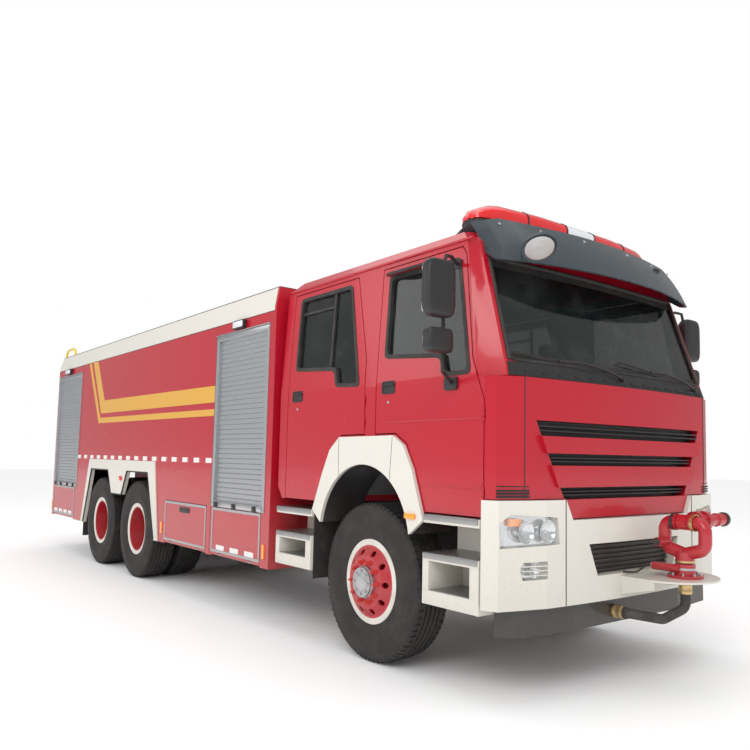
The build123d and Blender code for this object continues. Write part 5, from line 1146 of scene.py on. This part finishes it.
lathe(lookDown, [(0.0045, 0.0), (0.0050, 0.092), (0.0046, 0.0925)], mirrorAt, mirrorFace, 48)
visorPiece = closePiece("sun_visor_shell", visorShell, "chassis", "slate", 40.0)
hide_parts("sun_visor")
closePiece("visor_screws", visor, "chassis", "steel")
closePiece("visor_lamps", visorLamps, "chassis", "black")
closePiece("look_down_mirror_glass", lookDown, "chassis", "chrome")
print("stage: visor")


# front panel: slot bars, side vents and corner lines

frontForm = {"slots": [(1.605, 1.690, 0.905), (1.425, 1.490, 0.795), (1.215, 1.280, 0.700)], "bars": 2}
slotBars, vents, frontSeams = bmesh.new(), bmesh.new(), bmesh.new()
for low, high, half in frontForm["slots"]:
    for n in range(frontForm["bars"]):
        z = low + (high - low) * (n + 1) / (frontForm["bars"] + 1)
        slab(
            slotBars,
            [
                (frontAxleX + 1.330, -half, z - 0.005), (frontAxleX + 1.330, half, z - 0.005),
                (frontAxleX + 1.330, half, z + 0.005), (frontAxleX + 1.330, -half, z + 0.005)
            ],
            (0.055, 0, 0), 0.0015
        )
for side in (1, -1):
    spots = [(1.376, 0.99), (1.372, 1.022), (1.303, 1.192)]
    for z in (1.232, 1.250, 1.268):
        tube(vents, [(frontAxleX + x + 0.003, side * y, z) for x, y in spots], 0.006, 8)
    tube(frontSeams, [(frontAxleX + x + 0.0005, side * y, 1.293) for x, y in spots], 0.003, 6)
    tube(frontSeams, [(frontAxleX + 1.3725, side * 1.022, z) for z in (1.22, 1.6, 1.953)], 0.003, 6)
closePiece("grille_slot_bars", slotBars, "chassis", "black")
closePiece("side_vents", vents, "chassis", "black")
closePiece("front_seams", frontSeams, "chassis", "rubber")
print("stage: front panel")


# lamps in the bumper; they replace the plain CAD blocks

lampForm = {
    "head": [(0.770, 0.945), (1.190, 0.930), (1.195, 1.075), (1.120, 1.128), (0.790, 1.105)],
    "fog": [(0.870, 0.745), (1.040, 0.740), (1.060, 0.800), (1.040, 0.845), (0.870, 0.848)],
    "bowls": [(0.862, 1.022, 0.068), (1.010, 1.022, 0.068)], "fogBowl": (0.955, 0.795, 0.042),
}
housing, bowls, lens, ambers, fogBars = bmesh.new(), bmesh.new(), bmesh.new(), bmesh.new(), bmesh.new()


def bumperSheet(shape, outline, lift, thick, side, step=0.035):
    # cut the outline into upright strips so that the sheet bends with the bumper
    ys = [u for u, v in outline]
    cuts = [min(ys)]
    while cuts[-1] + step < max(ys):
        cuts.append(cuts[-1] + step)
    cuts.append(max(ys))

    def span(y):
        hits = []
        for (u1, v1), (u2, v2) in zip(outline, outline[1:] + outline[:1]):
            if u1 != u2 and min(u1, u2) <= y <= max(u1, u2):
                hits.append(v1 + (v2 - v1) * (y - u1) / (u2 - u1))
        return min(hits), max(hits)

    columns = []
    for y in cuts:
        y = min(max(y, min(ys) + 1e-5), max(ys) - 1e-5)
        low, high = span(y)
        x = frontAxleX + bumperX(y) + lift
        columns.append(
            [shape.verts.new((x - d, side * y, z))
            for d, z in ((0, low), (0, high), (thick, high), (thick, low))]
        )
    for a, b in zip(columns, columns[1:]):
        for i in range(4):
            j = (i + 1) % 4
            shape.faces.new((a[i], a[j], b[j], b[i]))
    shape.faces.new(columns[0])
    shape.faces.new(columns[-1])


for side in (1, -1):
    bumperSheet(housing, lampForm["head"], -0.058, 0.006, side)
    bumperSheet(housing, lampForm["fog"], -0.055, 0.006, side)
    bumperSheet(lens, grow(lampForm["head"], -0.003), -0.004, 0.004, side)
    bumperSheet(lens, grow(lampForm["fog"], -0.003), -0.008, 0.004, side)
    bumperSheet(ambers, [(1.035, 1.058), (1.112, 1.058), (1.112, 1.100), (1.035, 1.100)], -0.020, 0.020, side)
    for y, z, r in lampForm["bowls"] + [lampForm["fogBowl"]]:
        x = frontAxleX + bumperX(y) - 0.012
        lathe(
            bowls,
            [
                (0.0, r), (0.004, r * 1.04), (0.004, r), (-0.012, r * 0.86), (-0.026, r * 0.6),
                (-0.034, r * 0.3), (-0.036, 0.0)
            ],
            (x, side * y, z), (1, 0, 0), 40
        )
        crownedBox(bowls, (x - 0.018, side * y, z), (0.022, 0.022, 0.022), 2.0, 16, 8)
    for n in range(3):
        z = 0.768 + n * 0.027
        bumperSheet(fogBars, boxOf((0.865, z - 0.003), (1.046, z + 0.003)), 0.001, 0.008, side)
closeLamp = closePiece("head_lamp_lenses", lens, "chassis", "clear")
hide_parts("headlamps")
closePiece("head_lamp_housings", housing, "chassis", "chrome")
closePiece("head_lamp_bowls", bowls, "chassis", "chrome")
closePiece("indicator_lenses", ambers, "chassis", "amber")
closePiece("fog_lamp_bars", fogBars, "chassis", "cream")
intake = bmesh.new()
slab(
    intake,
    [
        (frontAxleX + 1.380, -0.43, 0.731), (frontAxleX + 1.380, 0.43, 0.731),
        (frontAxleX + 1.380, 0.508, 0.929), (frontAxleX + 1.380, -0.508, 0.929)
    ],
    (0.004, 0, 0)
)
for n in range(6):
    z = 0.752 + n * 0.031
    half = 0.43 + 0.078 * (z - 0.731) / 0.198 - 0.004
    slab(
        intake,
        [
            (frontAxleX + 1.384, -half, z - 0.004), (frontAxleX + 1.384, half, z - 0.004),
            (frontAxleX + 1.384, half, z + 0.004), (frontAxleX + 1.384, -half, z + 0.004)
        ],
        (0.022, 0, 0), 0.001
    )
closePiece("bumper_intake", intake, "chassis", "black")
bumperSeams = bmesh.new()
for side in (1, -1):
    tube(
        bumperSeams, [(frontAxleX + bumperX(0.72) + 0.0005, side * 0.72, z) for z in (0.572, 0.9, 1.208)],
        0.003, 6
    )
closePiece("bumper_seams", bumperSeams, "chassis", "rubber")
print("stage: lamps")


# fender markers, step plates and mud guards

markers, plates, guards, fenderLines = bmesh.new(), bmesh.new(), bmesh.new(), bmesh.new()
stepTable = [(0.695, 1.210, 0.850, 1.092), (-1.215, -0.662, 0.830, 1.032)]
for side in (1, -1):
    onFender = lambda x, z, h, s=side: (frontAxleX + x, s * (1.240 + h), z)
    plate(markers, rounded(boxOf((0.511, 1.051), (0.619, 1.088)), 0.012), onFender, -0.0005, 0.014, 0.004)
    for a, b in (((0.354, 1.600), (0.330, 1.300)), ((-0.304, 1.596), (-0.300, 1.310))):
        tube(fenderLines, [onFender(*a, -0.001), onFender(*b, -0.001)], 0.0025, 6)
    for xFrom, xTo, boxTop, treadTop in stepTable:
        for z, reach in ((boxTop, 1.2405), (treadTop, 1.2405)):
            yIn, yOut = (0.905, reach) if z == treadTop else (0.935, reach)
            slab(
                plates,
                [
                    (frontAxleX + xFrom + 0.01, side * yIn, z), (frontAxleX + xTo - 0.01, side * yIn, z),
                    (frontAxleX + xTo - 0.01, side * yOut, z), (frontAxleX + xFrom + 0.01, side * yOut, z)
                ],
                (0, 0, 0.0035), 0.001
            )
            slab(
                plates,
                [
                    (frontAxleX + xFrom + 0.01, side * (yOut + 0.0015), z - 0.034),
                    (frontAxleX + xTo - 0.01, side * (yOut + 0.0015), z - 0.034),
                    (frontAxleX + xTo - 0.01, side * (yOut + 0.0015), z + 0.003),
                    (frontAxleX + xFrom + 0.01, side * (yOut + 0.0015), z + 0.003)
                ],
                (0, side * 0.003, 0), 0.001
            )
    arc = [(-0.661, 0.50 + 0.50 * t) for t in (0, 0.2, 0.4, 0.6, 0.8, 1.0)]
    for (x1, z1), (x2, z2) in zip(arc, arc[1:]):
        slab(
            guards,
            [
                (frontAxleX + x1, side * 0.93, z1), (frontAxleX + x1, side * 1.215, z1),
                (frontAxleX + x2, side * 1.215, z2), (frontAxleX + x2, side * 0.93, z2)
            ],
            (0.006, 0, 0)
        )
    slab(
        guards,
        [
            (frontAxleX - 6.66, side * 0.60, 0.30), (frontAxleX - 6.66, side * 1.24, 0.30),
            (frontAxleX - 6.66, side * 1.24, 0.80), (frontAxleX - 6.66, side * 0.60, 0.80)
        ],
        (0.006, 0, 0)
    )
closePiece("fender_markers", markers, "chassis", "amber")
closePiece("fender_lines", fenderLines, "chassis", "rubber")
closePiece("step_tread_plates", plates, "chassis", "tread")
closePiece("mud_guards", guards, "chassis", "rubber")

# steps: an upper tread, a wall behind it and a box with a pocket for the foot
pocketForm = {
    "inner": 0.905, "wall": 0.030, "posts": (0.060, 0.080), "low": 0.088, "high": 0.048, "outer": 1.240
}
stepShape, pocketTreads = bmesh.new(), bmesh.new()


def block(shape, side, x1, x2, y1, y2, z1, z2, bevel=0.003):
    slab(shape, level(x1, x2, side * y1, side * y2, z1), (0, 0, z2 - z1), bevel)


for side in (1, -1):
    for (xFrom, xTo, boxTop, treadTop), boxLow in zip(stepTable, (0.530, 0.565)):
        inner, outer, wall = pocketForm["inner"], pocketForm["outer"], pocketForm["wall"]
        low, high = boxLow + pocketForm["low"], boxTop - pocketForm["high"]
        block(stepShape, side, xFrom, xTo, inner, outer - 0.003, treadTop - 0.052, treadTop)
        block(stepShape, side, xFrom, xTo, inner, inner + wall, boxLow, treadTop - 0.051)
        block(stepShape, side, xFrom, xTo, inner + wall - 0.001, outer, boxLow, low)
        block(stepShape, side, xFrom, xTo, inner + wall - 0.001, outer, high, boxTop)
        block(
            stepShape, side, xFrom, xFrom + pocketForm["posts"][0], inner + wall - 0.001, outer, low - 0.001,
            high + 0.001
        )
        block(
            stepShape, side, xTo - pocketForm["posts"][1], xTo, inner + wall - 0.001, outer, low - 0.001,
            high + 0.001
        )
        block(
            pocketTreads, side, xFrom + 0.065, xTo - 0.085, inner + wall + 0.004, outer - 0.006, low,
            low + 0.004,
            0.001
        )
stepPiece = closePiece("cab_step_pockets", stepShape, "chassis", "cream")
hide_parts("cab_steps")
closePiece("pocket_tread_plates", pocketTreads, "chassis", "tread")
print("stage: steps")


# light bar base and ribs

# per section: y, rear x, front x, top z
barTable = [
    (0.985, 0.790, 0.885, 3.100), (0.970, 0.745, 0.905, 3.128), (0.930, 0.715, 0.925, 3.156),
    (0.860, 0.702, 0.942, 3.180), (0.780, 0.700, 0.958, 3.190), (0.420, 0.700, 1.000, 3.190),
    (0.0, 0.700, 1.005, 3.190)
]
barForm = {"lensLow": 3.072, "footLow": 2.9505, "baseLow": 3.040, "joints": (-0.560, -0.160, 0.160, 0.560)}


def barLoop(y, rear, front, top, low, more=0.0):
    rear, front, top = frontAxleX + rear - more, frontAxleX + front + more, top + more
    return [
        (rear, y, low), (front, y, low), (front, y, low + (top - low) * 0.55), (front - 0.018, y, top - 0.022),
        (front - 0.055, y, top), (rear + 0.035, y, top), (rear + 0.012, y, top - 0.022),
        (rear, y, low + (top - low) * 0.55)
    ]


def barAt(y):
    y = abs(y)
    for (y1, *first), (y2, *second) in zip(barTable, barTable[1:]):
        if y2 <= y <= y1:
            t = (y - y2) / (y1 - y2)
            return [b + (a - b) * t for a, b in zip(first, second)]


def loftLoops(shape, loops):
    rings = [[shape.verts.new(p) for p in loop] for loop in loops]
    for a, b in zip(rings, rings[1:]):
        for i in range(len(a)):
            j = (i + 1) % len(a)
            shape.faces.new((a[i], a[j], b[j], b[i]))
    shape.faces.new(rings[0])
    shape.faces.new(rings[-1])


lensShape, base = bmesh.new(), bmesh.new()
places = [-row[0] for row in barTable] + [row[0] for row in reversed(barTable[:-1])]
loftLoops(lensShape, [barLoop(y, *barAt(y), barForm["lensLow"]) for y in places])
loftLoops(
    base, [barLoop(y, *barAt(y)[:2], barForm["lensLow"] + 0.004, barForm["baseLow"], 0.004) for y in places]
)
for y in barForm["joints"]:
    loftLoops(base, [barLoop(y + d, *barAt(y), barForm["lensLow"], 0.003) for d in (-0.006, 0.006)])
for y in (-0.6, 0.6):
    slab(base, level(0.77, 0.89, y - 0.045, y + 0.045, barForm["footLow"]), (0, 0, 0.092), 0.003)
lensPiece = closePiece("light_bar_lens", lensShape, "chassis", "beacon", 40.0)
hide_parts("light_bar")
closePiece("light_bar_base", base, "chassis", "black")
print("stage: light bar")


# monitor: rings, bolts, motors and nozzle tip

monitorForm = {"x": 1.750, "y": 0.100, "z": 0.712, "barrelZ": 1.065}
mx, my, mz = frontAxleX + monitorForm["x"], monitorForm["y"], monitorForm["z"]
bolts, brassBase = bmesh.new(), bmesh.new()
for n in range(8):
    a = 2 * math.pi * (n + 0.5) / 8
    spot = Vector((mx + 0.092 * math.cos(a), my + 0.092 * math.sin(a), mz + 0.018))
    rod(bolts, spot, spot + Vector((0, 0, 0.012)), 0.009, None, 6)
    rod(bolts, spot + Vector((0, 0, 0.010)), spot + Vector((0, 0, 0.018)), 0.005, None, 10)
lathe(
    bolts, [(0.0, 0.062), (0.0, 0.0675), (0.014, 0.0675), (0.014, 0.062)], (mx, my, mz + 0.050), (0, 0, 1), 40,
    True
)
rod(bolts, (mx - 0.205, my - 0.055, mz + 0.058), (mx - 0.1985, my - 0.055, mz + 0.058), 0.022, 0.019)
closePiece("monitor_base_bolts", bolts, "chassis", "steel")
lathe(
    brassBase,
    [
        (0.0, 0.033), (0.0, 0.0415), (0.018, 0.0435), (0.022, 0.0415), (0.05, 0.0415), (0.054, 0.0435),
        (0.072, 0.0415), (0.072, 0.033)
    ],
    (mx, my, mz - 0.102), (0, 0, 1), 40, True
)
lathe(
    brassBase,
    [
        (0.0, 0.033), (0.0, 0.0415), (0.018, 0.0435), (0.022, 0.0415), (0.06, 0.0415), (0.064, 0.0435),
        (0.084, 0.0415), (0.084, 0.033)
    ],
    (frontAxleX + 1.393, my - 0.270, 0.475), (1, 0, 0), 40, True
)
closePiece("hose_couplings", brassBase, "chassis", "brass")
turretBrass, turretBlack, barrelMetal, barrelRed = bmesh.new(), bmesh.new(), bmesh.new(), bmesh.new()
lathe(
    turretBrass, [(0.0, 0.050), (0.0, 0.0555), (0.022, 0.0555), (0.022, 0.050)],
    (mx + 0.060, my, monitorForm["barrelZ"]), (1, 0, 0), 40, True
)
lathe(
    turretBlack, [(0.0, 0.050), (0.0, 0.0555), (0.022, 0.0555), (0.022, 0.050)],
    (mx - 0.082, my, monitorForm["barrelZ"]), (1, 0, 0), 40, True
)
rod(turretBlack, (mx - 0.123, my - 0.128, 0.935), (mx - 0.123, my - 0.142, 0.935), 0.026, 0.022)
lathe(
    turretBrass, [(0.0, 0.058), (0.0, 0.0635), (0.012, 0.0635), (0.012, 0.058)], (mx, my, mz + 0.098),
    (0, 0, 1), 40, True
)
closePiece("turret_brass_rings", turretBrass, "monitor_turret", "brass")
closePiece("turret_motor_cap", turretBlack, "monitor_turret", "black")
for y in (0.130, 0.230):
    for n in range(8):
        a = 2 * math.pi * n / 8
        spot = Vector((mx + 0.056 * math.cos(a), my + y - 0.024, monitorForm["barrelZ"] + 0.056 * math.sin(a)))
        rod(barrelMetal, spot, spot + Vector((0, 0.048, 0)), 0.0055, None, 6)
closePiece("barrel_bolts", barrelMetal, "monitor_barrel", "steel")
lathe(
    barrelRed, [(0.0, 0.030), (0.0, 0.0475), (0.006, 0.0495), (0.030, 0.0485), (0.036, 0.046), (0.036, 0.030)],
    (mx, my + 0.478, monitorForm["barrelZ"]), (0, 1, 0), 40, True
)
closePiece("nozzle_ring", barrelRed, "monitor_barrel", "black")
print("stage: monitor")


# seats, which take the place of the plain blocks

seatForm = {"table": [(0.150, 0.600, 0.500, 2.450), (0.150, -0.600, 0.500, 2.450), (-1.160, 0.0, 1.960, 2.400)]}


def cushion(shape, centre, size, crown=0.02, power=7.0):
    crownedBox(shape, centre, (size[0] + crown, size[1], size[2] + crown), power, 40, 16)


seatPads, seatStands = bmesh.new(), bmesh.new()
for backX, middleY, width, topZ in seatForm["table"]:
    places = 1 if width < 1 else 3
    for n in range(places):
        y = middleY + (n - (places - 1) / 2) * width / places
        w = width / places - 0.012
        cushion(seatPads, (frontAxleX + backX + 0.33, y, 1.815), (0.44, w, 0.12))
        cushion(
            seatPads, (frontAxleX + backX + 0.085, y, (1.83 + topZ - 0.16) / 2), (0.11, w, topZ - 1.83 - 0.16)
        )
        crownedBox(
            seatPads, (frontAxleX + backX + 0.075, y, topZ - 0.075), (0.10, min(w, 0.30), 0.15), 4.0, 24, 12
        )
    slab(
        seatStands,
        [
            (frontAxleX + backX + 0.09, middleY - width * 0.4, 1.461),
            (frontAxleX + backX + 0.42, middleY - width * 0.4, 1.461),
            (frontAxleX + backX + 0.42, middleY + width * 0.4, 1.461),
            (frontAxleX + backX + 0.09, middleY + width * 0.4, 1.461)
        ],
        (0, 0, 0.30), 0.01
    )
pads = closePiece("seat_pads", seatPads, "chassis", "seat", 60.0)
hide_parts("seats")
closePiece("seat_stands", seatStands, "chassis", "black")
print("stage: seats")


# floor, light and camera

sceneForm = {
    "floor": (0.97, 0.97, 0.97), "world": 1.0, "glossyWorld": 0.40, "key": 420.0, "fill": 160.0, "top": 260.0
}


def plainFloor():
    f = Finish("floorPaint", Roughness=0.9)
    f.link(Base_Color=f.blend(f.noise(0.6, 3.0) * 0.15, sceneForm["floor"], (0.94, 0.94, 0.94)))
    return f.material


shape = bmesh.new()
bmesh.ops.create_grid(shape, x_segments=1, y_segments=1, size=60.0)
floorMesh = bpy.data.meshes.new("floor")
shape.to_mesh(floorMesh)
shape.free()
floor = bpy.data.objects.new("floor", floorMesh)
floor.location.z = -0.0005
floorMesh.materials.append(plainFloor())
bpy.context.scene.collection.objects.link(floor)

world = bpy.data.worlds.new("softWorld")
bpy.context.scene.world = world
world.use_nodes = True
tree = world.node_tree
background = tree.nodes["Background"]
background.inputs["Color"].default_value = (1.0, 1.0, 1.0, 1.0)
seen = tree.nodes.new("ShaderNodeBackground")
seen.inputs["Color"].default_value = (1.0, 1.0, 1.0, 1.0)
path = tree.nodes.new("ShaderNodeLightPath")
mirrored = tree.nodes.new("ShaderNodeMapRange")
mirrored.inputs["To Min"].default_value = sceneForm["world"]
mirrored.inputs["To Max"].default_value = sceneForm["glossyWorld"]
tree.links.new(path.outputs["Is Glossy Ray"], mirrored.inputs["Value"])
tree.links.new(mirrored.outputs["Result"], background.inputs["Strength"])
either = tree.nodes.new("ShaderNodeMath")
either.operation = "MAXIMUM"
mix = tree.nodes.new("ShaderNodeMixShader")
tree.links.new(path.outputs["Is Camera Ray"], either.inputs[0])
tree.links.new(path.outputs["Is Transmission Ray"], either.inputs[1])
tree.links.new(either.outputs[0], mix.inputs[0])
tree.links.new(background.outputs[0], mix.inputs[1])
tree.links.new(seen.outputs[0], mix.inputs[2])
tree.links.new(mix.outputs[0], tree.nodes["World Output"].inputs[0])


def areaLight(name, place, aim, size, power):
    data = bpy.data.lights.new(name, "AREA")
    data.shape, data.size, data.size_y, data.energy = "RECTANGLE", size[0], size[1], power
    lamp = bpy.data.objects.new(name, data)
    lamp.location = place
    lamp.rotation_euler = (Vector(aim) - Vector(place)).to_track_quat("-Z", "Y").to_euler()
    bpy.context.scene.collection.objects.link(lamp)


areaLight("keyLight", (9.0, -9.0, 8.0), (1.0, 0.0, 1.4), (7.0, 5.0), sceneForm["key"])
areaLight("fillLight", (-5.0, -11.0, 6.0), (-1.5, 0.0, 1.2), (9.0, 4.0), sceneForm["fill"])
areaLight("topLight", (0.0, 0.0, 10.0), (0.0, 0.0, 0.0), (14.0, 8.0), sceneForm["top"])

cameraForm = {
    "place": (7.6192, -4.3770, 1.4510), "yaw": 2.4503, "pitch": 0.0882, "roll": 0.0171, "focal": 742.944,
    "centre": (416.618, 392.514), "frame": 750.0
}
yaw, pitch, roll = cameraForm["yaw"], cameraForm["pitch"], cameraForm["roll"]
forward = Vector((math.cos(yaw) * math.cos(pitch), math.sin(yaw) * math.cos(pitch), math.sin(pitch)))
level = Vector((math.sin(yaw), -math.cos(yaw), 0.0))
upright = level.cross(forward)
right = level * math.cos(roll) + upright * math.sin(roll)
up = upright * math.cos(roll) - level * math.sin(roll)
camera = bpy.data.objects.new("camera", bpy.data.cameras.new("camera"))
turn = Matrix((right, up, -forward)).transposed().to_4x4()
camera.matrix_world = Matrix.Translation(cameraForm["place"]) @ turn
camera.data.sensor_width = 36.0
camera.data.lens = cameraForm["focal"] / cameraForm["frame"] * 36.0
camera.data.shift_x = (cameraForm["frame"] / 2 - cameraForm["centre"][0]) / cameraForm["frame"]
camera.data.shift_y = (cameraForm["centre"][1] - cameraForm["frame"] / 2) / cameraForm["frame"]
camera.data.clip_end = 200.0
bpy.context.scene.collection.objects.link(camera)
bpy.context.scene.camera = camera
bpy.context.scene.view_settings.view_transform = "Standard"
print("stage: scene")
